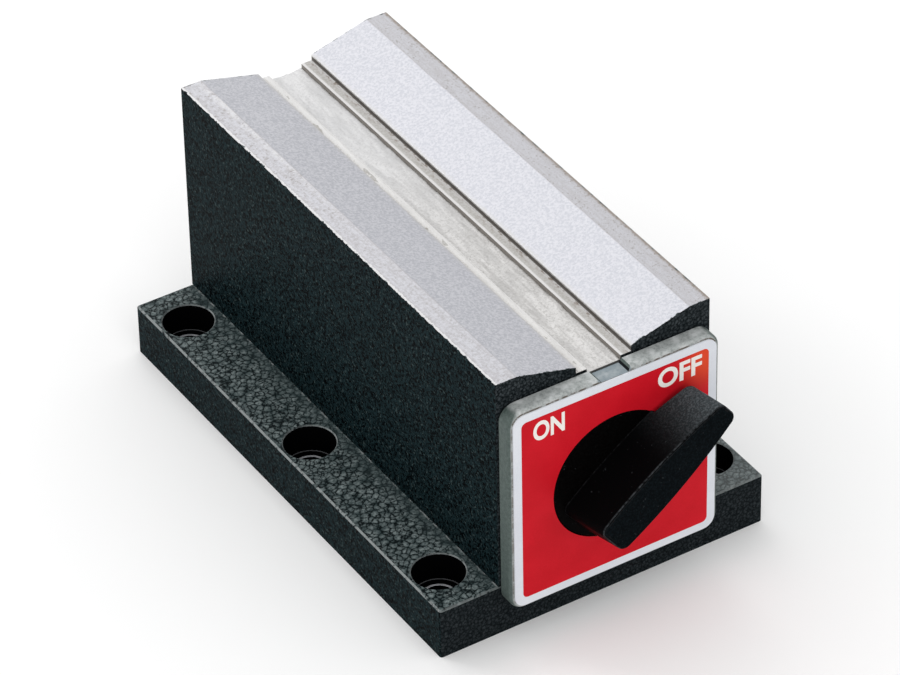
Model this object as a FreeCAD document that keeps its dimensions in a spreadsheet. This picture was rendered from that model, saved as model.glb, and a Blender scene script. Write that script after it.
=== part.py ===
# Switchable magnetic clamping block. Two steel poles with a shallow V on top stand on a bolted
# flange, and a magnet rotor in the bore between them is turned by the knob on the front plate.
# Millimetres. Origin in the middle of the flange's underside, X right, Y to the back, Z up.
# The rest pose is the knob turned to OFF, the lever up to the right as seen from the front.
import FreeCAD, Part
import math
import os

import Sketcher

doc = FreeCAD.newDocument("MagneticClampingBlock")
sheet = doc.addObject("Spreadsheet::Sheet", "Sizes")

# Driving dimensions. Lengths are in millimetres, angles in degrees.
SIZES = {
    # flange and its bolt holes
    "block_length": ("120", "length of the block and the flange, front to back"),
    "flange_thickness": ("12", "thickness of the flange"),
    "flange_corner": ("0.6", "rounding of the flange's upright corners"),
    "flange_bevel": ("0.35", "bevel along the flange's top edges"),
    "bolt_hole_width": ("6.6", "through hole for an M6 bolt"),
    "bolt_sink_width": ("11", "counterbore for the bolt head"),
    "bolt_sink_depth": ("6.5", "depth of that counterbore"),
    "bolt_sink_bevel": ("0.25", "bevel round the counterbore's mouth"),
    "bolt_sink_inner_wall": ("1.75", "from the counterbore to the block's side"),
    "bolt_sink_outer_wall": ("1", "from the counterbore to the flange's side"),
    "bolt_sink_end_wall": ("5.25", "from the end counterbores to the flange's ends"),
    # bore, walls and V
    "bore_width": ("33", "diameter of the rotor bore"),
    "bore_wall": ("8.5", "pole wall beside the bore"),
    "bore_floor": ("4.1", "metal between the bore and the flange"),
    "bore_roof": ("7.25", "metal between the bore and the separator's top edge"),
    "separator_width": ("7.9", "width of the strips between the poles"),
    "separator_sink": ("1.2", "from the ledges down to the separator"),
    "separator_dish": ("0.3", "hollow of the separator's top face"),
    "key_depth": ("1.6", "reach of the separator's dovetail into the pole"),
    "key_mouth": ("1.6", "height of the dovetail where it leaves the separator"),
    "key_root": ("2.4", "height of the dovetail at its root"),
    "channel_width": ("12.9", "gap between the V faces' lower edges"),
    "ledge_drop": ("1.45", "from the V faces' lower edges to the ledges"),
    "lip_bevel": ("0.1", "bevel on the V faces' lower edges"),
    "land_width": ("4.8", "flat land along each pole's outer edge"),
    "v_slope": ("15", "angle of each V face below the horizontal"),
    # flange fasteners
    "base_screw_width": ("5", "shank of the screws that hold the flange"),
    "base_screw_reach": ("12", "length of those screws in the poles"),
    "base_screw_head": ("8.5", "head diameter"),
    "base_screw_height": ("5", "head height"),
    "base_screw_key": ("4", "hexagon socket across its flats"),
    "base_screw_socket": ("2.6", "depth of the hexagon socket"),
    "base_screw_sink": ("0.5", "from the head to the flange's underside"),
    "base_screw_room": ("0.35", "room round the head"),
    "base_screw_wall": ("4", "pole wall outside the screw"),
    "base_screw_end": ("19", "from the screw to the end of the block"),
    "dowel_width": ("5", "dowel pin diameter"),
    "dowel_reach": ("7", "dowel length in the flange, and in the pole"),
    "dowel_bevel": ("0.4", "bevel on the dowel's ends"),
    # front plate, gasket and label
    "gasket_thickness": ("0.5", "gasket between block and plate"),
    "gasket_inset": ("0.7", "from the plate's edge to the gasket's edge"),
    "plate_inset": ("0.3", "from the block's side to the plate's edge"),
    "plate_thickness": ("3.5", "front plate thickness"),
    "plate_corner": ("3.5", "plate corner radius"),
    "plate_round": ("0.9", "rounding of the plate's front edge"),
    "notch_width": ("6.2", "notch in the plate's top edge"),
    "notch_depth": ("0.8", "depth of the notch"),
    "label_thickness": ("0.3", "label thickness"),
    "label_margin": ("0.9", "from the plate's edge to the label"),
    "label_corner": ("2.5", "label corner radius"),
    "plate_screw_width": ("3", "shank of the plate screws"),
    "plate_screw_head": ("5.6", "head of the plate screws"),
    "plate_screw_length": ("11", "length of the plate screws"),
    "plate_screw_room": ("0.1", "room round the screw in the plate"),
    "plate_screw_wall": ("4", "pole wall outside a plate screw"),
    "plate_screw_floor": ("1.6", "pole between a plate screw and the flange"),
    # knob
    "knob_width": ("29.5", "diameter of the knob's disc"),
    "knob_room": ("0.3", "room round the disc in the plate and label"),
    "knob_round": ("0.4", "rounding of the disc's front edge"),
    "rim_thickness": ("2", "rim that the plate holds in"),
    "rim_room": ("0.3", "room round the rim in the bore"),
    "end_play": ("0.3", "axial play on each side of the rotor"),
    "lever_height": ("11.2", "lever front face above the disc"),
    "lever_tip": ("24.4", "reach of the lever's tip from the axis"),
    "tail_inset": ("2.35", "from the disc's edge to the foot of the lever's tail"),
    "tip_width": ("5.8", "width of the lever's front face at the tip"),
    "tail_width": ("8.9", "width of the lever's front face at the other end"),
    "lever_side_bow": ("125", "radius of the lever's bowed sides"),
    "lever_flare": ("0.4", "how much wider the lever is at the disc, each side"),
    "tail_flare": ("2", "how much longer the lever's tail is at the disc"),
    "tip_lean": ("1.6", "how far the tip leans out from the disc to the front"),
    "lever_corner": ("2", "rounding of the lever's four corners"),
    "lever_round": ("0.45", "rounding round the lever's front face"),
    "lever_lift": ("1", "gap under the lever beside the disc"),
    "lever_rise": ("1.6", "how much the gap opens out to the tip"),
    "seal_section": ("1.2", "side of the square-section seal ring on the knob"),
    "seal_room": ("0.1", "room between the seal ring and the plate"),
    "seal_gap": ("0.2", "room beside the seal ring in its groove"),
    "off_angle": ("37.5", "lever angle above the horizontal at OFF"),
    "knob_turn": ("105", "turn from OFF to ON"),
    # rotor and bearings
    "rotor_gap": ("0.3", "gap between the rotor and the bore"),
    "magnet_thickness": ("12", "magnet slab between the shoes"),
    "magnet_width": ("24", "magnet slab across the rotor"),
    "magnet_lead": ("45", "angle from the lever to the magnets' direction"),
    "hub_thickness": ("5", "thickness of the rotor's end discs"),
    "journal_width": ("12", "journal diameter"),
    "journal_room": ("0.05", "radial running clearance of the journals"),
    "drive_square": ("8", "square that turns the rotor"),
    "drive_room": ("0.05", "room on each side of the square"),
    "drive_length": ("5", "length of the square"),
    "washer_thickness": ("0.5", "thrust washer thickness"),
    "washer_width": ("20", "thrust washer diameter"),
    "washer_room": ("0.3", "room between washer and journal"),
    "bearing_thickness": ("7", "front bearing thickness"),
    "rear_bearing_thickness": ("6", "rear bearing thickness"),
    "bearing_bevel": ("0.5", "bevel on the bearings' edges"),
    "cover_thickness": ("2.5", "closing disc at the back"),
    "cover_recess": ("0.6", "from the back face to the closing disc"),
    "hub_screw_width": ("3", "shank of the hub screws"),
    "hub_screw_head": ("5.4", "head of the hub screws"),
    "hub_screw_reach": ("7", "length of the hub screws in the shoes"),
    "hub_screw_wall": ("1", "shoe between a hub screw and the magnet"),
    "hub_screw_spread": ("11", "distance between the two screws of a shoe"),
    "stop_pin_width": ("3", "stop pin diameter"),
    "stop_pin_circle": ("22", "diameter of the circle that the stop pin runs on"),
    "stop_pin_seat": ("3.5", "stop pin length in the hub"),
    "stop_pin_reach": ("3.4", "stop pin length in the slot"),
    "stop_slot_depth": ("4", "depth of the slot in the front bearing"),
    "stop_slot_room": ("0.1", "room round the stop pin in its slot"),
    # cuts
    "cut_overrun": ("5", "how far an open cut runs on past the metal"),
}
MAGNET_COUNT = 4
HEXAGON_SIDES = 6
SQUARE_SIDES = 4

for row, (alias, (number, note)) in enumerate(SIZES.items(), start=1):
    sheet.set(f"A{row}", note)
    sheet.set(f"B{row}", number)
    sheet.setAlias(f"B{row}", alias)
doc.recompute()


class Size:
    """A number and the sheet formula that gives it, so that arithmetic keeps both together."""

    def __init__(self, number, formula):
        self.number = float(number)
        self.formula = formula

    def __add__(self, other):
        other = as_size(other)
        return Size(self.number + other.number, f"({self.formula} + {other.formula})")

    def __sub__(self, other):
        other = as_size(other)
        return Size(self.number - other.number, f"({self.formula} - {other.formula})")

    def __mul__(self, other):
        other = as_size(other)
        return Size(self.number * other.number, f"({self.formula} * {other.formula})")

    def __truediv__(self, other):
        other = as_size(other)
        return Size(self.number / other.number, f"({self.formula} / {other.formula})")

    def __neg__(self):
        return Size(-self.number, f"(-1 * {self.formula})")


def as_size(value):
    """A plain number as a Size."""
    return value if isinstance(value, Size) else Size(value, f"({float(value)!r})")


def dim(alias):
    """The sheet's value under this alias."""
    return Size(sheet.get(alias), f"Sizes.{alias}")


def sine(angle):
    return Size(math.sin(math.radians(angle.number)), f"sin({angle.formula})")


def cosine(angle):
    return Size(math.cos(math.radians(angle.number)), f"cos({angle.formula})")


def tangent(angle):
    return Size(math.tan(math.radians(angle.number)), f"tan({angle.formula})")


def other_leg(long_side, leg):
    """The third side of a right triangle, from its longest side and one leg."""
    squares = long_side * long_side - leg * leg
    return Size(math.sqrt(squares.number), f"sqrt({squares.formula})")


ZERO = as_size(0)

# Where the main faces lie
half_length = dim("block_length") / 2
bore = dim("bore_width") / 2
half_width = bore + dim("bore_wall")
flange_top = dim("flange_thickness")
axis_height = flange_top + dim("bore_floor") + bore
separator_top = axis_height + bore + dim("bore_roof")
ledge = separator_top + dim("separator_sink")
half_separator = dim("separator_width") / 2
half_channel = dim("channel_width") / 2
land_edge = half_width - dim("land_width")
lip_edge = half_channel + dim("lip_bevel")
lip_top = ledge + dim("ledge_drop")
block_top = lip_top + (land_edge - lip_edge) * tangent(dim("v_slope"))
bolt_x = half_width + dim("bolt_sink_inner_wall") + dim("bolt_sink_width") / 2
half_base = bolt_x + dim("bolt_sink_width") / 2 + dim("bolt_sink_outer_wall")
bolt_y = half_length - dim("bolt_sink_end_wall") - dim("bolt_sink_width") / 2

# The stack along the rotor axis, from the front
front_face = -half_length
plate_back = front_face - dim("gasket_thickness")
plate_front = plate_back - dim("plate_thickness")
disc_face = plate_front - dim("label_thickness")
rim_front = plate_back + dim("end_play")
rim_back = rim_front + dim("rim_thickness")
bearing_front = rim_back + dim("washer_thickness") + dim("end_play")
bearing_back = bearing_front + dim("bearing_thickness")
hub_front = bearing_back + dim("end_play")
core_front = hub_front + dim("hub_thickness")
cover_back = half_length - dim("cover_recess")
rear_bearing_back = cover_back - dim("cover_thickness")
rear_bearing_front = rear_bearing_back - dim("rear_bearing_thickness")
rear_hub_back = rear_bearing_front - dim("end_play") - dim("washer_thickness")
core_back = rear_hub_back - dim("hub_thickness")
core_length = core_back - core_front
core_middle = (core_front + core_back) / 2
rotor = bore - dim("rotor_gap")
journal = dim("journal_width") / 2
plate_hole = dim("knob_width") / 2 + dim("knob_room")
half_plate = half_width - dim("plate_inset")
magnet_angle = dim("off_angle") + dim("magnet_lead")
plate_screw_x = half_width - dim("plate_screw_wall") - dim("plate_screw_width") / 2
plate_screw_z = bore + dim("bore_floor") - dim("plate_screw_floor") - dim("plate_screw_width") / 2
hub_screw_x = dim("magnet_thickness") / 2 + dim("hub_screw_wall") + dim("hub_screw_width") / 2

nodes = []


def bind(item, **formulas):
    """Binds properties to the sheet. A double underscore stands for the dot of a placement."""
    for name, amount in formulas.items():
        item.setExpression(name.replace("__", "."), as_size(amount).formula)


def keep(item, label):
    """Names a finished sub-part, which is written to a file of that name."""
    item.Label = label
    nodes.append(item)
    return item


def new_body(label):
    return keep(doc.addObject("PartDesign::Body", label), label)


def set_on_axis(body, angle=None):
    """Lifts a body to the rotor axis, and turns it about that axis by an angle seen from the front."""
    if angle is not None:
        turned = FreeCAD.Rotation(FreeCAD.Vector(0, -1, 0), angle.number)
        body.Placement = FreeCAD.Placement(FreeCAD.Vector(0, 0, axis_height.number), turned)
        bind(body, Placement__Rotation__Angle=angle)
    bind(body, Placement__Base__z=axis_height)


def new_sketch(body, name, plane, offset=ZERO):
    """A sketch on one of the body's origin planes, moved along that plane's normal.

    The XZ plane's normal points to the front, so there an offset is minus a Y value.
    """
    sketch = body.newObject("Sketcher::SketchObject", name)
    origin_plane = [item for item in body.Origin.OriginFeatures if item.Role == plane][0]
    sketch.AttachmentSupport = [(origin_plane, "")]
    sketch.MapMode = "FlatFace"
    bind(sketch, AttachmentOffset__Base__z=offset)
    return sketch


def pin_down(sketch, kind, *where, amount):
    """Adds a constraint whose value is bound to the sheet."""
    index = sketch.addConstraint(Sketcher.Constraint(kind, *where, amount.number))
    sketch.setExpression(f"Constraints[{index}]", amount.formula)


def place_point(sketch, geometry, end, point):
    pin_down(sketch, "DistanceX", -1, 1, geometry, end, amount=as_size(point[0]))
    pin_down(sketch, "DistanceY", -1, 1, geometry, end, amount=as_size(point[1]))


def draw_circle(sketch, point, radius):
    centre = FreeCAD.Vector(as_size(point[0]).number, as_size(point[1]).number, 0)
    geometry = sketch.addGeometry(Part.Circle(centre, FreeCAD.Vector(0, 0, 1), radius.number), False)
    place_point(sketch, geometry, 3, point)
    pin_down(sketch, "Radius", geometry, amount=radius)


def draw_outline(sketch, corners, arcs=None):
    """Draws a closed outline through the corners.

    An entry of arcs bows the side that starts at that corner: its radius, and a point that it passes near.
    """
    arcs = arcs or {}
    flat = [FreeCAD.Vector(as_size(x).number, as_size(y).number, 0) for x, y in corners]
    ends = []
    for index, start in enumerate(flat):
        stop = flat[(index + 1) % len(flat)]
        if index in arcs:
            near = FreeCAD.Vector(*[as_size(value).number for value in arcs[index][1]], 0)
            geometry = sketch.addGeometry(Part.Arc(start, near, stop), False)
        else:
            geometry = sketch.addGeometry(Part.LineSegment(start, stop), False)
        first = sketch.getPoint(geometry, 1)
        ends.append((geometry, 1, 2) if first.isEqual(start, 1e-6) else (geometry, 2, 1))
    for index, (geometry, first, last) in enumerate(ends):
        following = ends[(index + 1) % len(ends)]
        sketch.addConstraint(Sketcher.Constraint("Coincident", geometry, last, following[0], following[1]))
        place_point(sketch, geometry, first, corners[index])
        if index in arcs:
            pin_down(sketch, "Radius", geometry, amount=arcs[index][0])


def box_corners(half_x, half_y, centre_y=ZERO):
    return [(-half_x, centre_y - half_y), (half_x, centre_y - half_y),
            (half_x, centre_y + half_y), (-half_x, centre_y + half_y)]


def pad(body, sketch, name, length, both_ways=False, backwards=False):
    feature = body.newObject("PartDesign::Pad", name)
    feature.Profile = sketch
    feature.Midplane = both_ways
    feature.Reversed = backwards
    bind(feature, Length=length)
    return feature


def pocket(body, sketch, name, depth=None, both_ways=False, backwards=False):
    """Cuts against the sketch's normal, or along it when backwards; without a depth, right through."""
    feature = body.newObject("PartDesign::Pocket", name)
    feature.Profile = sketch
    feature.Midplane = both_ways
    feature.Reversed = backwards
    if depth is None:
        feature.Type = "ThroughAll"
    else:
        bind(feature, Length=depth)
    return feature


def turn(body, name, profile, arcs=None):
    """Revolves a profile of (radius, Y) corners about the body's own Y axis."""
    sketch = new_sketch(body, f"{name}_profile", "XY_Plane")
    draw_outline(sketch, profile, arcs)
    feature = body.newObject("PartDesign::Revolution", name)
    feature.Profile = sketch
    feature.ReferenceAxis = (sketch, ["V_Axis"])
    feature.Angle = 360
    return feature


def dress(body, kind, name, base, size, wanted):
    """A fillet or chamfer on the base's edges that the test picks."""
    doc.recompute()
    edges = [f"Edge{index}" for index, edge in enumerate(base.Shape.Edges, start=1) if wanted(edge)]
    feature = body.newObject(f"PartDesign::{kind}", name)
    feature.Base = (base, edges)
    if kind == "Fillet":
        bind(feature, Radius=size)
    else:
        bind(feature, Size=size)
    return feature


def near(value, target):
    return abs(value - target) < 1e-4


def is_round(edge, radius):
    return edge.Curve.TypeId == "Part::GeomCircle" and near(edge.Curve.Radius, radius.number)


def lies_at(edge, axis, size):
    """Whether the whole edge lies at this value of x, y or z."""
    box = edge.BoundBox
    low, high = {"x": (box.XMin, box.XMax), "y": (box.YMin, box.YMax), "z": (box.ZMin, box.ZMax)}[axis]
    return near(low, size.number) and near(high, size.number)


def runs_along(edge, axis):
    """Whether a straight edge is parallel to x, y or z."""
    if edge.Curve.TypeId != "Part::GeomLine":
        return False
    direction = edge.Curve.Direction
    return near(abs({"x": direction.x, "y": direction.y, "z": direction.z}[axis]), 1)


def cylinder_y(name, radius, front, back, x=ZERO, z=ZERO):
    """A loose cylinder along Y, for a pin or screw."""
    rod = doc.addObject("Part::Cylinder", name)
    rod.Placement = FreeCAD.Placement(FreeCAD.Vector(), FreeCAD.Rotation(FreeCAD.Vector(1, 0, 0), -90))
    bind(rod, Radius=radius, Height=back - front, Placement__Base__x=x, Placement__Base__y=front,
         Placement__Base__z=z)
    return rod


def cone_y(name, front_radius, back_radius, front, back, x=ZERO, z=ZERO):
    """A loose cone along Y, for a countersunk head."""
    cone = doc.addObject("Part::Cone", name)
    cone.Placement = FreeCAD.Placement(FreeCAD.Vector(), FreeCAD.Rotation(FreeCAD.Vector(1, 0, 0), -90))
    bind(cone, Radius1=front_radius, Radius2=back_radius, Height=back - front, Placement__Base__x=x,
         Placement__Base__y=front, Placement__Base__z=z)
    return cone


def cylinder_z(name, radius, low, high, x=ZERO, y=ZERO):
    """A loose upright cylinder."""
    rod = doc.addObject("Part::Cylinder", name)
    bind(rod, Radius=radius, Height=high - low, Placement__Base__x=x, Placement__Base__y=y,
         Placement__Base__z=low)
    return rod


def fuse(name, *pieces):
    joined = doc.addObject("Part::MultiFuse", name)
    joined.Shapes = list(pieces)
    return joined


def group(label, pieces):
    """Identical loose pieces that share one node."""
    gathered = doc.addObject("Part::Compound", label)
    gathered.Links = pieces
    return keep(gathered, label)


def bolt_places():
    """Centres of the six flange holes."""
    return [(bolt_x * side, bolt_y * row) for side in (-1, 1) for row in (-1, 0, 1)]


def base_screw_places():
    x = half_width - dim("base_screw_wall") - dim("base_screw_width") / 2
    y = half_length - dim("base_screw_end")
    return [(x * side, y * end) for side in (-1, 1) for end in (-1, 1)]


def dowel_places():
    x = half_width - dim("base_screw_wall") - dim("base_screw_width") / 2
    return [(x * side, ZERO) for side in (-1, 1)]


def plate_screw_places():
    return [(plate_screw_x * side, plate_screw_z * level) for side in (-1, 1) for level in (-1, 1)]


def hub_screw_places():
    z = dim("hub_screw_spread") / 2
    return [(hub_screw_x * side, z * level) for side in (-1, 1) for level in (-1, 1)]


def make_base_flange():
    body = new_body("base_flange")
    outline = new_sketch(body, "flange_outline", "XY_Plane")
    draw_outline(outline, box_corners(half_base, half_length))
    slab = pad(body, outline, "flange_slab", flange_top)
    dress(body, "Fillet", "flange_corners", slab, dim("flange_corner"), lambda edge: runs_along(edge, "z"))
    through = new_sketch(body, "bolt_holes", "XY_Plane")
    sinks = new_sketch(body, "bolt_sinks", "XY_Plane", flange_top)
    for place in bolt_places():
        draw_circle(through, place, dim("bolt_hole_width") / 2)
        draw_circle(sinks, place, dim("bolt_sink_width") / 2)
    pocket(body, through, "bolt_hole_cut", backwards=True)
    pocket(body, sinks, "bolt_sink_cut", dim("bolt_sink_depth"))
    shanks = new_sketch(body, "screw_holes", "XY_Plane")
    heads = new_sketch(body, "screw_sinks", "XY_Plane")
    for place in base_screw_places():
        draw_circle(shanks, place, dim("base_screw_width") / 2)
        draw_circle(heads, place, dim("base_screw_head") / 2 + dim("base_screw_room"))
    pocket(body, shanks, "screw_hole_cut", backwards=True)
    pocket(body, heads, "screw_sink_cut", dim("base_screw_sink") + dim("base_screw_height"), backwards=True)
    pins = new_sketch(body, "dowel_holes", "XY_Plane", flange_top)
    for place in dowel_places():
        draw_circle(pins, place, dim("dowel_width") / 2)
    holed = pocket(body, pins, "dowel_hole_cut", dim("dowel_reach"))
    mouths = dress(body, "Chamfer", "bolt_sink_mouths", holed, dim("bolt_sink_bevel"),
                   lambda edge: is_round(edge, dim("bolt_sink_width") / 2) and lies_at(edge, "z", flange_top))

    def is_top_side_edge(edge):
        outside = lies_at(edge, "x", half_base) or lies_at(edge, "x", -half_base)
        return outside and lies_at(edge, "z", flange_top)

    dress(body, "Chamfer", "flange_top_edges", mouths, dim("flange_bevel"), is_top_side_edge)


def key_heights(centre):
    """Heights of the four corners of a separator's dovetail, from the top."""
    mouth = dim("key_mouth") / 2
    root = dim("key_root") / 2
    return [centre + mouth, centre + root, centre - root, centre - mouth]


bore_at_separator = other_leg(bore, half_separator)
upper_key = key_heights((separator_top + axis_height + bore_at_separator) / 2)
lower_key = key_heights((flange_top + axis_height - bore_at_separator) / 2)
key_reach = half_separator + dim("key_depth")
key_sides = (half_separator, key_reach, key_reach, half_separator)


def make_pole(label, side):
    """One pole: side is -1 for the left one and 1 for the right one."""
    body = new_body(label)
    profile = new_sketch(body, f"{label}_profile", "XZ_Plane")
    corners = [
        (half_width, flange_top),
        (half_width, block_top),
        (land_edge, block_top),
        (lip_edge, lip_top),
        (half_channel, lip_top - dim("lip_bevel")),
        (half_channel, ledge),
        (half_separator, ledge),
        *zip(key_sides, upper_key),
        (half_separator, axis_height + bore_at_separator),
        (half_separator, axis_height - bore_at_separator),
        *zip(key_sides, lower_key),
        (half_separator, flange_top),
    ]
    bore_start = 11
    arcs = {bore_start: (bore, (bore * side, axis_height))}
    draw_outline(profile, [(x * side, z) for x, z in corners], arcs)
    pad(body, profile, f"{label}_block", dim("block_length"), both_ways=True)
    below = new_sketch(body, f"{label}_screw_holes", "XY_Plane", flange_top)
    for x, y in base_screw_places():
        if x.number * side > 0:
            draw_circle(below, (x, y), dim("base_screw_width") / 2)
    pocket(body, below, f"{label}_screw_cut", dim("base_screw_reach"), backwards=True)
    pins = new_sketch(body, f"{label}_dowel_hole", "XY_Plane", flange_top)
    for x, y in dowel_places():
        if x.number * side > 0:
            draw_circle(pins, (x, y), dim("dowel_width") / 2)
    pocket(body, pins, f"{label}_dowel_cut", dim("dowel_reach"), backwards=True)
    front = new_sketch(body, f"{label}_plate_holes", "XZ_Plane", half_length)
    for x, z in plate_screw_places():
        if x.number * side > 0:
            draw_circle(front, (x, axis_height + z), dim("plate_screw_width") / 2)
    depth = dim("plate_screw_length") - dim("plate_thickness") - dim("gasket_thickness")
    pocket(body, front, f"{label}_plate_cut", depth)


def make_separators():
    top = new_body("top_separator")
    profile = new_sketch(top, "top_separator_profile", "XZ_Plane")
    right = [(half_separator, separator_top), *zip(key_sides, upper_key),
             (half_separator, axis_height + bore_at_separator)]
    left = [(-x, z) for x, z in reversed(right)]
    dish = dim("separator_dish")
    dish_radius = (half_separator * half_separator + dish * dish) / (dish * 2)
    arcs = {len(right) - 1: (bore, (ZERO, axis_height + bore)),
            2 * len(right) - 1: (dish_radius, (ZERO, separator_top - dish))}
    draw_outline(profile, right + left, arcs)
    pad(top, profile, "top_separator_strip", dim("block_length"), both_ways=True)

    bottom = new_body("bottom_separator")
    profile = new_sketch(bottom, "bottom_separator_profile", "XZ_Plane")
    right = [(half_separator, axis_height - bore_at_separator), *zip(key_sides, lower_key),
             (half_separator, flange_top)]
    left = [(-x, z) for x, z in reversed(right)]
    arcs = {2 * len(right) - 1: (bore, (ZERO, axis_height - bore))}
    draw_outline(profile, right + left, arcs)
    pad(bottom, profile, "bottom_separator_strip", dim("block_length"), both_ways=True)


def make_base_fasteners():
    head_low = dim("base_screw_sink")
    head_high = head_low + dim("base_screw_height")
    screws = []
    for number, (x, y) in enumerate(base_screw_places(), start=1):
        head = cylinder_z(f"base_screw_head_{number}", dim("base_screw_head") / 2, head_low, head_high, x, y)
        shank = cylinder_z(f"base_screw_shank_{number}", dim("base_screw_width") / 2, head_low,
                           flange_top + dim("base_screw_reach"), x, y)
        socket = doc.addObject("Part::Prism", f"base_screw_socket_{number}")
        socket.Polygon = HEXAGON_SIDES
        bind(socket, Circumradius=dim("base_screw_key") / 2 / cosine(as_size(180 / HEXAGON_SIDES)),
             Height=dim("base_screw_socket"), Placement__Base__x=x, Placement__Base__y=y,
             Placement__Base__z=head_low)
        screw = doc.addObject("Part::Cut", f"base_screw_{number}")
        screw.Base = fuse(f"base_screw_blank_{number}", head, shank)
        screw.Tool = socket
        screws.append(screw)
    group("base_screws", screws)
    dowels = []
    bevel = dim("dowel_bevel")
    radius = dim("dowel_width") / 2
    for number, (x, y) in enumerate(dowel_places(), start=1):
        low = flange_top - dim("dowel_reach")
        high = flange_top + dim("dowel_reach")
        rod = cylinder_z(f"dowel_rod_{number}", radius, low + bevel, high - bevel, x, y)
        tips = []
        for name, start, base_radius, end_radius in (("lower", low, radius - bevel, radius),
                                                     ("upper", high - bevel, radius, radius - bevel)):
            tip = doc.addObject("Part::Cone", f"dowel_{name}_tip_{number}")
            bind(tip, Radius1=base_radius, Radius2=end_radius, Height=bevel, Placement__Base__x=x,
                 Placement__Base__y=y, Placement__Base__z=start)
            tips.append(tip)
        dowels.append(fuse(f"dowel_{number}", rod, *tips))
    group("base_dowels", dowels)


def rounded_square(body, name, half_side, offset, thickness, corner):
    """A square slab on the rotor axis with rounded corners, its back at the offset."""
    outline = new_sketch(body, f"{name}_outline", "XZ_Plane", offset)
    draw_outline(outline, box_corners(half_side, half_side))
    slab = pad(body, outline, f"{name}_slab", thickness)
    return dress(body, "Fillet", f"{name}_corners", slab, corner, lambda edge: runs_along(edge, "y"))


def make_gasket():
    body = new_body("front_gasket")
    inset = dim("gasket_inset")
    rounded_square(body, "gasket", half_plate - inset, half_length, dim("gasket_thickness"),
                   dim("plate_corner") - inset)
    hole = new_sketch(body, "gasket_hole", "XZ_Plane", -front_face)
    draw_circle(hole, (ZERO, ZERO), bore)
    for x, z in plate_screw_places():
        draw_circle(hole, (x, z), dim("plate_screw_width") / 2)
    pocket(body, hole, "gasket_hole_cut", backwards=True)
    set_on_axis(body)


def make_front_plate():
    body = new_body("front_plate")
    slab = rounded_square(body, "plate", half_plate, -plate_back, dim("plate_thickness"), dim("plate_corner"))
    dress(body, "Fillet", "plate_front_round", slab, dim("plate_round"),
          lambda edge: lies_at(edge, "y", plate_front))
    holes = new_sketch(body, "plate_holes", "XZ_Plane", -plate_back)
    draw_circle(holes, (ZERO, ZERO), plate_hole)
    screw_hole = dim("plate_screw_width") / 2 + dim("plate_screw_room")
    for place in plate_screw_places():
        draw_circle(holes, place, screw_hole)
    holed = pocket(body, holes, "plate_hole_cut", backwards=True)
    dress(body, "Chamfer", "plate_screw_sinks", holed,
          dim("plate_screw_head") / 2 - dim("plate_screw_width") / 2,
          lambda edge: is_round(edge, screw_hole) and lies_at(edge, "y", plate_front))
    notch = new_sketch(body, "plate_notch", "XZ_Plane", -plate_back)
    half_notch = dim("notch_width") / 2
    floor = half_plate - dim("notch_depth")
    side = half_notch + dim("notch_depth")
    outside = half_plate + dim("cut_overrun")
    draw_outline(notch, [(-half_notch, floor), (half_notch, floor), (side, half_plate),
                         (side, outside), (-side, outside), (-side, half_plate)])
    pocket(body, notch, "plate_notch_cut", backwards=True)
    set_on_axis(body)


def make_plate_screws():
    screws = []
    head = dim("plate_screw_head") / 2
    shank = dim("plate_screw_width") / 2
    for number, (x, z) in enumerate(plate_screw_places(), start=1):
        height = axis_height + z
        cone = cone_y(f"plate_screw_head_{number}", head, shank, plate_front,
                      plate_front + head - shank, x, height)
        rod = cylinder_y(f"plate_screw_shank_{number}", shank, plate_front + head - shank,
                         plate_front + dim("plate_screw_length"), x, height)
        screws.append(fuse(f"plate_screw_{number}", cone, rod))
    group("plate_screws", screws)


def make_label():
    body = new_body("dial_label")
    rounded_square(body, "label", half_plate - dim("label_margin"), -plate_front, dim("label_thickness"),
                   dim("label_corner"))
    hole = new_sketch(body, "label_hole", "XZ_Plane", -plate_front)
    draw_circle(hole, (ZERO, ZERO), plate_hole)
    pocket(body, hole, "label_hole_cut", backwards=True)
    set_on_axis(body)


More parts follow.
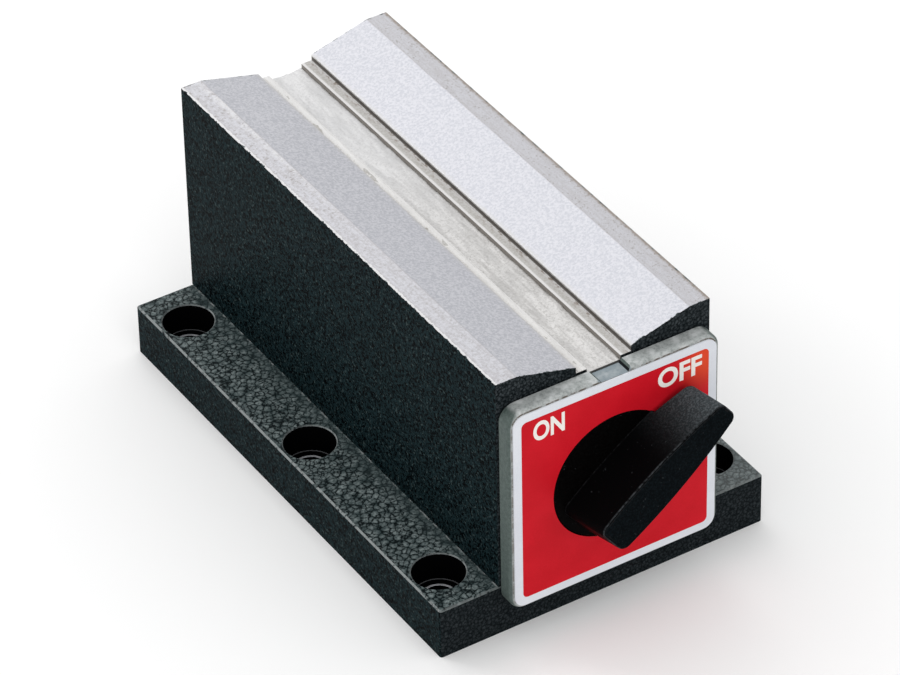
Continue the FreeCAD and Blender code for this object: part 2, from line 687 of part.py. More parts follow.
def make_bearings():
    bevel = dim("bearing_bevel")
    inner = journal + dim("journal_room")
    front = new_body("front_bearing")
    turn(front, "front_bearing_disc", [
        (inner, bearing_front), (bore - bevel, bearing_front), (bore, bearing_front + bevel),
        (bore, bearing_back - bevel), (bore - bevel, bearing_back), (inner, bearing_back)])
    room = dim("stop_pin_width") / 2 + dim("stop_slot_room")
    circle = dim("stop_pin_circle") / 2
    start = magnet_angle - 90
    stop = start + dim("knob_turn")
    middle = (start + stop) / 2
    slot = new_sketch(front, "stop_slot", "XZ_Plane", -bearing_back)
    corners = [((circle + reach) * cosine(angle), (circle + reach) * sine(angle))
               for reach, angle in ((room, start), (room, stop), (-room, stop), (-room, start))]
    middles = [((circle + reach) * cosine(middle), (circle + reach) * sine(middle)) for reach in (room, -room)]
    draw_outline(slot, corners, {0: (circle + room, middles[0]), 2: (circle - room, middles[1])})
    pocket(front, slot, "stop_slot_cut", dim("stop_slot_depth"), backwards=True)
    ends = new_sketch(front, "stop_slot_ends", "XZ_Plane", -bearing_back)
    for angle in (start, stop):
        draw_circle(ends, (circle * cosine(angle), circle * sine(angle)), room)
    pocket(front, ends, "stop_slot_end_cut", dim("stop_slot_depth"), backwards=True)
    set_on_axis(front)

    rear = new_body("rear_bearing")
    turn(rear, "rear_bearing_disc", [
        (inner, rear_bearing_front), (bore - bevel, rear_bearing_front),
        (bore, rear_bearing_front + bevel), (bore, rear_bearing_back - bevel),
        (bore - bevel, rear_bearing_back), (inner, rear_bearing_back)])
    set_on_axis(rear)

    cover = new_body("rear_cover")
    turn(cover, "rear_cover_disc", [
        (ZERO, rear_bearing_back), (bore, rear_bearing_back), (bore, cover_back - bevel),
        (bore - bevel, cover_back), (ZERO, cover_back)])
    set_on_axis(cover)


def make_hubs():
    """The rotor's end discs: the front one carries the square and the stop pin."""
    front = new_body("front_hub")
    turn(front, "front_hub_disc", [
        (ZERO, core_front), (rotor, core_front), (rotor, hub_front), (journal, hub_front),
        (journal, rim_back), (ZERO, rim_back)])
    square = new_sketch(front, "drive_square_outline", "XZ_Plane", -rim_back)
    draw_outline(square, box_corners(dim("drive_square") / 2, dim("drive_square") / 2))
    pad(front, square, "drive_square_pad", dim("drive_length"))
    hole = new_sketch(front, "stop_pin_hole", "XZ_Plane", -hub_front)
    draw_circle(hole, (ZERO, -(dim("stop_pin_circle") / 2)), dim("stop_pin_width") / 2)
    pocket(front, hole, "stop_pin_hole_cut", dim("stop_pin_seat"))
    cut_hub_screw_holes(front, "front_hub", hub_front, backwards=False)
    set_on_axis(front, magnet_angle)

    rear = new_body("rear_hub")
    turn(rear, "rear_hub_disc", [
        (ZERO, core_back), (rotor, core_back), (rotor, rear_hub_back), (journal, rear_hub_back),
        (journal, rear_bearing_back - dim("end_play")), (ZERO, rear_bearing_back - dim("end_play"))])
    cut_hub_screw_holes(rear, "rear_hub", rear_hub_back, backwards=True)
    set_on_axis(rear, magnet_angle)


def is_off_middle(edge):
    """Whether an edge lies beside the body's middle plane, where the stop pin has its hole."""
    return not near(edge.BoundBox.Center.x, 0)


def cut_hub_screw_holes(body, name, face, backwards):
    """Countersunk holes for the four screws of an end disc."""
    shank = dim("hub_screw_width") / 2
    holes = new_sketch(body, f"{name}_screw_holes", "XZ_Plane", -face)
    for place in hub_screw_places():
        draw_circle(holes, place, shank)
    cut = pocket(body, holes, f"{name}_screw_cut", dim("hub_thickness"), backwards=backwards)
    dress(body, "Chamfer", f"{name}_screw_sinks", cut, dim("hub_screw_head") / 2 - shank,
          lambda edge: is_round(edge, shank) and lies_at(edge, "y", face) and is_off_middle(edge))


def make_hub_screws():
    head = dim("hub_screw_head") / 2
    shank = dim("hub_screw_width") / 2
    sink = head - shank
    reach = dim("hub_thickness") + dim("hub_screw_reach")
    front, rear = [], []
    for number, (x, z) in enumerate(hub_screw_places(), start=1):
        cone = cone_y(f"front_hub_screw_head_{number}", head, shank, hub_front, hub_front + sink, x, z)
        rod = cylinder_y(f"front_hub_screw_shank_{number}", shank, hub_front + sink, hub_front + reach, x, z)
        front.append(fuse(f"front_hub_screw_{number}", cone, rod))
        cone = cone_y(f"rear_hub_screw_head_{number}", shank, head, rear_hub_back - sink, rear_hub_back, x, z)
        rod = cylinder_y(f"rear_hub_screw_shank_{number}", shank, rear_hub_back - reach,
                         rear_hub_back - sink, x, z)
        rear.append(fuse(f"rear_hub_screw_{number}", cone, rod))
    set_on_axis(group("front_hub_screws", front), magnet_angle)
    set_on_axis(group("rear_hub_screws", rear), magnet_angle)


def make_stop_pin():
    pin = cylinder_y("stop_pin_rod", dim("stop_pin_width") / 2, hub_front - dim("stop_pin_reach"),
                     hub_front + dim("stop_pin_seat"), z=-(dim("stop_pin_circle") / 2))
    set_on_axis(group("stop_pin", [pin]), magnet_angle)


def make_shoe(label, side):
    """A steel segment of the rotor on one side of the magnets."""
    body = new_body(label)
    flat = dim("magnet_thickness") / 2
    end = other_leg(rotor, flat)
    profile = new_sketch(body, f"{label}_profile", "XZ_Plane", -core_middle)
    draw_outline(profile, [(flat * side, -end), (flat * side, end)], {1: (rotor, (rotor * side, ZERO))})
    pad(body, profile, f"{label}_segment", core_length, both_ways=True)
    for name, offset, backwards in (("front", -core_front, False), ("rear", -core_back, True)):
        holes = new_sketch(body, f"{label}_{name}_holes", "XZ_Plane", offset)
        for x, z in hub_screw_places():
            if x.number * side > 0:
                draw_circle(holes, (x, z), dim("hub_screw_width") / 2)
        pocket(body, holes, f"{label}_{name}_cut", dim("hub_screw_reach"), backwards=backwards)
    set_on_axis(body, magnet_angle)


def make_side_bar(label, side):
    """An aluminium bar that fills the rotor beside the magnets."""
    body = new_body(label)
    flat = dim("magnet_thickness") / 2
    inner = dim("magnet_width") / 2
    outer = other_leg(rotor, flat)
    profile = new_sketch(body, f"{label}_profile", "XZ_Plane", -core_middle)
    draw_outline(profile, [(-flat, inner * side), (flat, inner * side), (flat, outer * side),
                           (-flat, outer * side)], {2: (rotor, (ZERO, rotor * side))})
    pad(body, profile, f"{label}_length", core_length, both_ways=True)
    set_on_axis(body, magnet_angle)


def make_magnets():
    slab_length = core_length / MAGNET_COUNT
    for number in range(MAGNET_COUNT):
        body = new_body(f"magnet_{number + 1}")
        middle = core_front + slab_length * (number + 0.5)
        outline = new_sketch(body, f"magnet_{number + 1}_outline", "XZ_Plane", -middle)
        draw_outline(outline, box_corners(dim("magnet_thickness") / 2, dim("magnet_width") / 2))
        pad(body, outline, f"magnet_{number + 1}_slab", slab_length, both_ways=True)
        set_on_axis(body, magnet_angle)


def make_washers():
    inner = journal + dim("washer_room")
    outer = dim("washer_width") / 2
    for label, front in (("front_thrust_washer", rim_back), ("rear_thrust_washer", rear_hub_back)):
        body = new_body(label)
        back = front + dim("washer_thickness")
        turn(body, f"{label}_ring", [(inner, front), (outer, front), (outer, back), (inner, back)])
        set_on_axis(body, magnet_angle)


def make_knob():
    """The knob: a turned disc with a rim behind the plate, and the wing lever lofted on its face."""
    body = new_body("knob")
    disc = dim("knob_width") / 2
    rim = bore - dim("rim_room")
    edge = dim("knob_round")
    seal_middle = (plate_back + plate_front) / 2
    half_groove = dim("seal_section") / 2 + dim("seal_gap")
    groove = plate_hole - dim("seal_room") - dim("seal_section")
    turn(body, "knob_disc", [
        (ZERO, disc_face), (disc - edge, disc_face), (disc, disc_face + edge),
        (disc, seal_middle - half_groove), (groove, seal_middle - half_groove),
        (groove, seal_middle + half_groove), (disc, seal_middle + half_groove),
        (disc, rim_front), (rim, rim_front), (rim, rim_back), (ZERO, rim_back)])

    def lever_outline(name, offset, tail, tip, tail_half, tip_half):
        outline = new_sketch(body, name, "XZ_Plane", offset)
        bow = dim("lever_side_bow")
        middle = (tip - tail) / 2
        belly = (tail_half + tip_half) / 2 + bow - other_leg(bow, (tip + tail) / 2)
        draw_outline(outline, [(-tail, -tail_half), (tip, -tip_half), (tip, tip_half), (-tail, tail_half)],
                     {0: (bow, (middle, -belly)), 2: (bow, (middle, belly))})
        return outline

    tip_half = dim("tip_width") / 2
    tail_half = dim("tail_width") / 2
    flare = dim("lever_flare")
    tail = disc - dim("tail_inset")
    lever_front = disc_face - dim("lever_height")
    foot = lever_outline("lever_foot", -disc_face, tail, dim("lever_tip") - dim("tip_lean"),
                         tail_half + flare, tip_half + flare)
    face = lever_outline("lever_face", -lever_front, tail - dim("tail_flare"), dim("lever_tip"),
                         tail_half, tip_half)
    lever = body.newObject("PartDesign::AdditiveLoft", "lever")
    lever.Profile = foot
    lever.Sections = [face]
    lever.Ruled = True

    def is_lever_corner(side):
        low, high = side.BoundBox.YMin, side.BoundBox.YMax
        return near(low, lever_front.number) and near(high, disc_face.number)

    corners = dress(body, "Fillet", "lever_corners", lever, dim("lever_corner"), is_lever_corner)
    dress(body, "Fillet", "lever_front_round", corners, dim("lever_round"),
          lambda edge: lies_at(edge, "y", lever_front))
    lift = dim("lever_lift")
    clear = dim("lever_tip") + dim("cut_overrun")
    ring = new_sketch(body, "lever_gap", "XZ_Plane", -disc_face)
    draw_circle(ring, (ZERO, ZERO), disc)
    draw_circle(ring, (ZERO, ZERO), clear)
    pocket(body, ring, "lever_gap_cut", lift, backwards=True)
    wedge = new_sketch(body, "lever_gap_slope", "XY_Plane")
    start = disc_face - lift
    draw_outline(wedge, [(disc, start), (clear, start), (clear, start - dim("lever_rise"))])
    pocket(body, wedge, "lever_gap_slope_cut", dim("knob_width"), both_ways=True)
    socket = new_sketch(body, "drive_socket", "XZ_Plane", -rim_back)
    half_turn = 180 / SQUARE_SIDES
    corner = (dim("drive_square") / 2 + dim("drive_room")) / cosine(as_size(half_turn))
    angles = [dim("magnet_lead") + half_turn * (2 * side + 1) for side in range(SQUARE_SIDES)]
    draw_outline(socket, [(corner * cosine(angle), corner * sine(angle)) for angle in angles])
    pocket(body, socket, "drive_socket_cut", dim("drive_length") + dim("drive_room"), backwards=True)
    set_on_axis(body, dim("off_angle"))


def make_knob_seal():
    body = new_body("knob_seal")
    outer = plate_hole - dim("seal_room")
    inner = outer - dim("seal_section")
    middle = (plate_back + plate_front) / 2
    front = middle - dim("seal_section") / 2
    back = middle + dim("seal_section") / 2
    turn(body, "knob_seal_ring", [(inner, front), (outer, front), (outer, back), (inner, back)])
    set_on_axis(body)


make_base_flange()
make_pole("left_pole", -1)
make_pole("right_pole", 1)
make_separators()
make_base_fasteners()
make_gasket()
make_front_plate()
make_plate_screws()
make_label()
make_bearings()
make_hubs()
make_hub_screws()
make_stop_pin()
make_shoe("upper_shoe", 1)
make_shoe("lower_shoe", -1)
make_side_bar("left_side_bar", 1)
make_side_bar("right_side_bar", -1)
make_magnets()
make_washers()
make_knob()
make_knob_seal()
doc.recompute()

for item in doc.Objects:
    if "Invalid" in item.State or "Error" in item.State:
        raise RuntimeError(f"{item.Label} did not build: {item.State}")
for node in nodes:
    if node.Shape.isNull() or not node.Shape.isValid():
        raise RuntimeError(f"{node.Label} is not a valid shape")

os.makedirs("parts", exist_ok=True)
for node in nodes:
    node.Shape.exportStep(os.path.join("parts", f"{node.Label}.step"))
    print(node.Label, len(node.Shape.Solids), round(node.Shape.Volume, 1))
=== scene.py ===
"""Looks of a switchable magnetic clamping block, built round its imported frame.

The block is two painted steel poles on a bolt-down flange, ground bright along the V on top, with
a rough strip of white metal between them. A zinc plate with a red dial carries the black knob.
All lengths are in metres, in the frame of the construction: X right, Y to the back, Z up.
"""
from __future__ import annotations

import logging
import math
from dataclasses import dataclass, field
from enum import Enum
from typing import Sequence, Union

import bmesh
import bpy
from mathutils import Matrix, Vector, noise

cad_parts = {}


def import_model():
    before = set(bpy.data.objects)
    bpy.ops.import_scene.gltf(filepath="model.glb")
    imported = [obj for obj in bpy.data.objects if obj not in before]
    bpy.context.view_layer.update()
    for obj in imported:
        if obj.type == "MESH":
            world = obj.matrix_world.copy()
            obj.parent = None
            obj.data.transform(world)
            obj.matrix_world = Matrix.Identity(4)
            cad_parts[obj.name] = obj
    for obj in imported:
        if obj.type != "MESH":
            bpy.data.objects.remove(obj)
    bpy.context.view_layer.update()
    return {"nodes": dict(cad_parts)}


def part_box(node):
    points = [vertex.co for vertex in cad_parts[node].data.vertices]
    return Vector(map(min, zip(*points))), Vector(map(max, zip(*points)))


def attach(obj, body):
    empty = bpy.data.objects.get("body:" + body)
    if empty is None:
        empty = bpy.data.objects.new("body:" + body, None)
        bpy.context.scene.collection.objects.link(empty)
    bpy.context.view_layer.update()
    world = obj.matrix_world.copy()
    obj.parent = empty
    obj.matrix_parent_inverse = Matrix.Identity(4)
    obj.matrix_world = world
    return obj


log = logging.getLogger("clamping_block")

MM = 0.001
HALF_WIDTH = 25.0 * MM
HALF_LENGTH = 60.0 * MM
V_FLOOR = 58.0 * MM
Pair = tuple[float, float]
Colour = tuple[float, float, float]
Material = bpy.types.Material
Nodes = dict[str, bpy.types.Object]
Socket = bpy.types.NodeSocket
Feed = Union[Socket, float, Colour, Sequence[float]]


class Axis(Enum):
    """Direction in which a surface was ground or brushed, as stretch factors along X, Y and Z."""

    ALONG_X = (0.06, 1.0, 1.0)
    ALONG_Y = (1.0, 0.06, 1.0)
    ALONG_Z = (1.0, 1.0, 0.06)


class Body(Enum):
    """The body of the frame that the added pieces ride on."""

    BLOCK = "block"


@dataclass(frozen=True)
class Coat:
    """What a finish feeds a surface with."""

    colour: Feed
    rough: Feed
    shine: Feed
    normal: Feed


class Shader:
    """One material under construction, with short calls that add its nodes and join them."""

    def __init__(self, name: str) -> None:
        """Starts a material with an empty principled surface."""
        self.material = bpy.data.materials.new(name)
        self.material.use_nodes = True
        self.tree = self.material.node_tree
        self.tree.nodes.clear()
        self.output = self.tree.nodes.new("ShaderNodeOutputMaterial")
        self.surface = self.tree.nodes.new("ShaderNodeBsdfPrincipled")
        self.tree.links.new(self.surface.outputs[0], self.output.inputs["Surface"])
        self.places = self.tree.nodes.new("ShaderNodeTexCoord")

    @property
    def where(self) -> Socket:
        """Place on the object, in metres."""
        return self.places.outputs["Object"]

    @property
    def facing(self) -> Socket:
        """Direction that the surface faces."""
        return self.places.outputs["Normal"]

    def feed(self, socket: Socket, source: Feed) -> None:
        """Links a socket to a source, or sets it where the source is a plain value.

        Args:
            socket: The input to fill.
            source: Another node's output, a number, a colour or a vector.
        """
        if isinstance(source, bpy.types.NodeSocket):
            self.tree.links.new(source, socket)
        elif isinstance(source, (int, float)):
            socket.default_value = source
        else:
            values = tuple(source)
            wanted = len(socket.default_value)
            socket.default_value = values + (1.0,) * (wanted - len(values))

    def set(self, **inputs: Feed) -> None:
        """Fills inputs of the surface; an underscore in a name stands for a space."""
        for name, source in inputs.items():
            self.feed(self.surface.inputs[name.replace("_", " ")], source)

    def maths(self, operation: str, *sources: Feed) -> Socket:
        """Adds a maths node.

        Args:
            operation: The node's operation, such as MULTIPLY.
            *sources: Its inputs in order.

        Returns:
            The result.
        """
        node = self.tree.nodes.new("ShaderNodeMath")
        node.operation = operation
        for socket, source in zip(node.inputs, sources):
            self.feed(socket, source)
        return node.outputs[0]

    def times(self, first: Feed, second: Feed) -> Socket:
        """The product of two values."""
        return self.maths("MULTIPLY", first, second)

    def plus(self, first: Feed, second: Feed) -> Socket:
        """The sum of two values."""
        return self.maths("ADD", first, second)

    def minus(self, first: Feed, second: Feed) -> Socket:
        """The first value less the second."""
        return self.maths("SUBTRACT", first, second)

    def rest(self, share: Feed) -> Socket:
        """What a share leaves of 1."""
        return self.maths("SUBTRACT", 1.0, share)

    def size_of(self, source: Feed) -> Socket:
        """The value without its sign."""
        return self.maths("ABSOLUTE", source)

    def over(self, source: Feed, limit: Feed) -> Socket:
        """1 where a value is above a limit, and 0 elsewhere."""
        return self.maths("GREATER_THAN", source, limit)

    def under(self, source: Feed, limit: Feed) -> Socket:
        """1 where a value is below a limit, and 0 elsewhere."""
        return self.maths("LESS_THAN", source, limit)

    def least(self, first: Feed, second: Feed) -> Socket:
        """The smaller of two values."""
        return self.maths("MINIMUM", first, second)

    def most(self, first: Feed, second: Feed) -> Socket:
        """The larger of two values."""
        return self.maths("MAXIMUM", first, second)

    def blend(self, factor: Feed, first: Feed, second: Feed) -> Socket:
        """Mixes two colours.

        Args:
            factor: Share of the second colour.
            first: Colour at 0.
            second: Colour at 1.

        Returns:
            The mixed colour.
        """
        node = self.tree.nodes.new("ShaderNodeMix")
        node.data_type = "RGBA"
        self.feed(node.inputs["Factor"], factor)
        self.feed(node.inputs[6], first)
        self.feed(node.inputs[7], second)
        return node.outputs[2]

    def layer(self, below: Feed, above: Feed, mask: Feed, share: Feed | None = None) -> Socket:
        """A colour laid over another where a mask is 1, wholly or by a share."""
        return self.blend(mask if share is None else self.times(mask, share), below, above)

    def choose(self, factor: Feed, first: Feed, second: Feed) -> Socket:
        """A number between two others, by a factor from 0 to 1."""
        node = self.tree.nodes.new("ShaderNodeMix")
        node.data_type = "FLOAT"
        self.feed(node.inputs["Factor"], factor)
        self.feed(node.inputs[2], first)
        self.feed(node.inputs[3], second)
        return node.outputs[0]

    def ramp(self, source: Socket, low: float, high: float) -> Socket:
        """Stretches a stretch of values to 0 to 1, smoothly and clamped at both ends."""
        node = self.tree.nodes.new("ShaderNodeMapRange")
        node.interpolation_type = "SMOOTHSTEP"
        self.feed(node.inputs["Value"], source)
        self.feed(node.inputs["From Min"], low)
        self.feed(node.inputs["From Max"], high)
        return node.outputs["Result"]

    def stretched(self, factors: Sequence[float]) -> Socket:
        """The place on the object, with each axis stretched by a factor."""
        node = self.tree.nodes.new("ShaderNodeMapping")
        self.feed(node.inputs["Vector"], self.where)
        node.inputs["Scale"].default_value = factors
        return node.outputs["Vector"]

    def grain(self, size: float, detail: float = 3.0, rough: float = 0.55,
              vector: Feed | None = None) -> Socket:
        """Noise whose lumps are about this many metres across.

        Args:
            size: Width of a lump.
            detail: Octaves of finer noise.
            rough: Weight of the finer noise.
            vector: Place to read it at, the place on the object if left out.

        Returns:
            Noise around 0.5.
        """
        node = self.tree.nodes.new("ShaderNodeTexNoise")
        self.feed(node.inputs["Vector"], self.where if vector is None else vector)
        node.inputs["Scale"].default_value = 1.0 / size
        node.inputs["Detail"].default_value = detail
        node.inputs["Roughness"].default_value = rough
        return node.outputs["Fac"]

    def cells(self, density: Feed, vector: Feed) -> tuple[Socket, Socket, Socket]:
        """Cells of random shape.

        Args:
            density: How many cells go into a metre.
            vector: Place to read them at.

        Returns:
            Distances to the cell's border and to its middle, as shares of its width, and a number
            of the cell's own.
        """
        found = []
        for feature in ("DISTANCE_TO_EDGE", "F1"):
            node = self.tree.nodes.new("ShaderNodeTexVoronoi")
            node.feature = feature
            self.feed(node.inputs["Vector"], vector)
            self.feed(node.inputs["Scale"], density)
            found.append(node)
        border, middle = found
        own = self.tree.nodes.new("ShaderNodeSeparateColor")
        self.tree.links.new(middle.outputs["Color"], own.inputs[0])
        return border.outputs["Distance"], middle.outputs["Distance"], own.outputs[0]

    def apart(self, vector: Socket) -> tuple[Socket, Socket, Socket]:
        """The three components of a vector."""
        node = self.tree.nodes.new("ShaderNodeSeparateXYZ")
        self.feed(node.inputs[0], vector)
        return node.outputs[0], node.outputs[1], node.outputs[2]

    def moved(self, amount: Socket, reach: float) -> Socket:
        """The place on the object, pushed about by a noise value, to break up regular cells."""
        node = self.tree.nodes.new("ShaderNodeVectorMath")
        node.operation = "MULTIPLY_ADD"
        self.feed(node.inputs[0], amount)
        node.inputs[1].default_value = (reach, reach, reach)
        self.feed(node.inputs[2], self.where)
        return node.outputs[0]

    def distance(self, spot: Sequence[float]) -> Socket:
        """Distance from a spot on the object, in metres."""
        node = self.tree.nodes.new("ShaderNodeVectorMath")
        node.operation = "DISTANCE"
        self.feed(node.inputs[0], self.where)
        node.inputs[1].default_value = spot
        return node.outputs["Value"]

    def bump(self, height: Socket, depth: float, strength: Feed = 1.0,
             below: Socket | None = None) -> Socket:
        """A normal bent by a height.

        Args:
            height: Height from 0 to 1.
            depth: Metres that 1 stands for.
            strength: Share of the effect.
            below: Normal of a coarser bump that this one lies on.

        Returns:
            The bent normal.
        """
        node = self.tree.nodes.new("ShaderNodeBump")
        node.inputs["Distance"].default_value = depth
        self.feed(node.inputs["Strength"], strength)
        self.feed(node.inputs["Height"], height)
        if below is not None:
            self.feed(node.inputs["Normal"], below)
        return node.outputs[0]


@dataclass(frozen=True)
class HammerPaint:
    """Green-black hammertone paint where it lies level: pebbles, grey towards their tops by painted
    highlights, parted by dark cracks.

    On the end faces the pebbles are smaller and darker, and on the long upright faces the paint
    is a dark, nearly matt speckle. Both are shaded copies of the same paint: painted shade.
    """

    name: str = "hammertone_paint"
    pebble: float = 1.35 * MM
    end_pebble: float = 0.8 * MM
    crack: Colour = (0.001, 0.004, 0.005)
    dim: Colour = (0.034, 0.052, 0.054)
    pale: Colour = (0.255, 0.300, 0.300)
    end_crack: Colour = (0.003, 0.005, 0.006)
    end_dim: Colour = (0.012, 0.016, 0.018)
    end_pale: Colour = (0.056, 0.066, 0.072)
    shaded_dark_speck: Colour = (0.0000, 0.0002, 0.0006)
    shaded_pale_speck: Colour = (0.0085, 0.0195, 0.0225)
    glint: Colour = (0.0330, 0.0500, 0.0510)
    primer_and_highlight: Colour = (0.24, 0.26, 0.26)
    hollow: Colour = (0.0015, 0.0015, 0.0018)
    turned: Colour = (0.50, 0.51, 0.54)
    index: float = 1.25
    relief: float = 0.10 * MM

    def coat(self, shader: Shader) -> Coat:
        """Adds the paint's nodes to a material, and returns what they feed a surface with."""
        _, away, up = shader.apart(shader.facing)
        x, _, z = shader.apart(shader.where)
        level = shader.ramp(up, 0.55, 0.8)
        end = shader.ramp(shader.size_of(away), 0.5, 0.8)
        push = shader.grain(1.0 * MM, 3.0, 0.6)
        density = shader.choose(level, 1.0 / self.end_pebble, 1.0 / self.pebble)
        border, middle, own = shader.cells(density, shader.moved(push, 0.8 * MM))
        fine = shader.grain(0.6 * MM, 2.0, 0.6)
        ragged = shader.plus(border, shader.times(shader.minus(fine, 0.5), 0.35))
        pebble = shader.ramp(ragged, 0.0, 0.15)
        # Each pebble is painted lighter towards its middle: painted highlights on the domes.
        dome = shader.rest(shader.ramp(middle, 0.10, 0.95))
        tone = shader.times(shader.ramp(fine, 0.28, 0.66), shader.choose(own, 0.55, 1.0))
        tone = shader.times(tone, dome)
        top = shader.blend(pebble, self.crack, shader.blend(tone, self.dim, self.pale))
        ends = shader.blend(pebble, self.end_crack, shader.blend(tone, self.end_dim, self.end_pale))
        # Upright faces get a darker speckle than the level ones, a shaded copy of the paint:
        # painted shade.
        specks = shader.ramp(shader.grain(0.55 * MM, 3.0, 0.7), 0.43, 0.56)
        speckle = shader.blend(specks, self.shaded_dark_speck, self.shaded_pale_speck)
        sparks = shader.ramp(shader.grain(0.7 * MM, 2.0, 0.6), 0.60, 0.68)
        speckle = shader.layer(speckle, self.glint, sparks)
        low = shader.rest(shader.ramp(z, 11.5 * MM, 13.0 * MM))
        ends = shader.layer(ends, self.end_crack, low, 0.45)
        upright = shader.blend(end, speckle, ends)
        # The flange top is lighter on the right-hand side.
        right = shader.ramp(x, 20.0 * MM, 30.0 * MM)
        top = shader.layer(top, self.primer_and_highlight, right, 0.32)
        # The flange top is darker next to the block: painted shade.
        inner = shader.rest(shader.ramp(shader.size_of(x), HALF_WIDTH, 30.0 * MM))
        top = shader.layer(top, self.dim, inner, 0.5)
        height = shader.plus(shader.times(dome, 0.8), shader.times(fine, 0.4))
        return Coat(
            colour=shader.blend(level, upright, top),
            rough=shader.choose(level, 0.5, shader.choose(pebble, 0.6, 0.38)),
            shine=shader.choose(level, 0.05, 0.3),
            normal=shader.bump(height, self.relief, shader.choose(level, 0.4, 0.9)),
        )

    def make(self) -> Material:
        """The paint as its own material: primer on worn bevels, black in bores as painted shade."""
        shader = Shader(self.name)
        coat = self.coat(shader)
        _, away, up = shader.apart(shader.facing)
        above = shader.over(up, 0.3)
        below = shader.under(up, 0.93)
        # Bevels worn to primer grey, also a painted highlight, dimmed by painted shade where a
        # bevel faces front or back.
        bevel = shader.times(above, below)
        chipped = shader.times(bevel, shader.ramp(shader.grain(1.6 * MM, 4.0, 0.7), 0.36, 0.5))
        sideways = shader.rest(shader.times(shader.size_of(away), 0.8))
        colour = shader.layer(coat.colour, self.primer_and_highlight, chipped, sideways)
        # A painted highlight along the joint of the flange's top and the block.
        colour = shader.layer(colour, self.primer_and_highlight, self.joint_highlight(shader, up))
        deep, turned = self.counterbore(shader, up)
        # Counterbores painted near black: painted shade in the holes.
        colour = shader.layer(colour, self.hollow, deep)
        # Bright rings on the counterbore floors: turned bare metal, painted bright as glints.
        colour = shader.layer(colour, self.turned, turned)
        shader.set(
            Base_Color=colour,
            Roughness=coat.rough,
            Specular_IOR_Level=shader.choose(deep, coat.shine, 0.02),
            IOR=self.index,
            Normal=coat.normal,
        )
        return shader.material

    def joint_highlight(self, shader: Shader, up: Socket) -> Socket:
        """Mask of the broken line painted light where the flange's top meets the block's sides: a
        painted highlight.
        """
        x = shader.size_of(shader.apart(shader.where)[0])
        close = shader.rest(shader.ramp(x, 25.15 * MM, 25.5 * MM))
        broken = shader.ramp(shader.grain(2.5 * MM, 4.0, 0.75), 0.50, 0.62)
        return shader.times(shader.times(close, broken), shader.over(up, 0.9))

    def counterbore(self, shader: Shader, up: Socket) -> tuple[Socket, Socket]:
        """Masks of the bolt holes' insides.

        Args:
            shader: The material under construction.
            up: Upward part of the direction that the surface faces.

        Returns:
            Where the surface is inside a counterbore, and where its floor was turned bare metal,
            painted bright as glints at the hole's rim and at the foot of the counterbore's side.
        """
        sizes = (32.25, 49.25, 5.52, 3.9, 5.15)
        hole_x, hole_y, sink, rim, corner = (size * MM for size in sizes)
        x, y, z = shader.apart(shader.where)
        across = shader.minus(shader.size_of(x), hole_x)
        y = shader.size_of(y)
        along = shader.least(y, shader.size_of(shader.minus(y, hole_y)))
        square = shader.plus(shader.times(across, across), shader.times(along, along))
        radius = shader.maths("SQRT", square)
        inside = shader.under(radius, sink)
        deep = shader.times(inside, shader.over(z, 0.2 * MM))
        by_hole = shader.rest(shader.ramp(radius, rim - 0.2 * MM, rim))
        by_wall = shader.times(shader.ramp(radius, corner, corner + 0.15 * MM), 0.25)
        floor = shader.times(deep, shader.over(up, 0.9))
        return deep, shader.times(floor, shader.most(by_hole, by_wall))


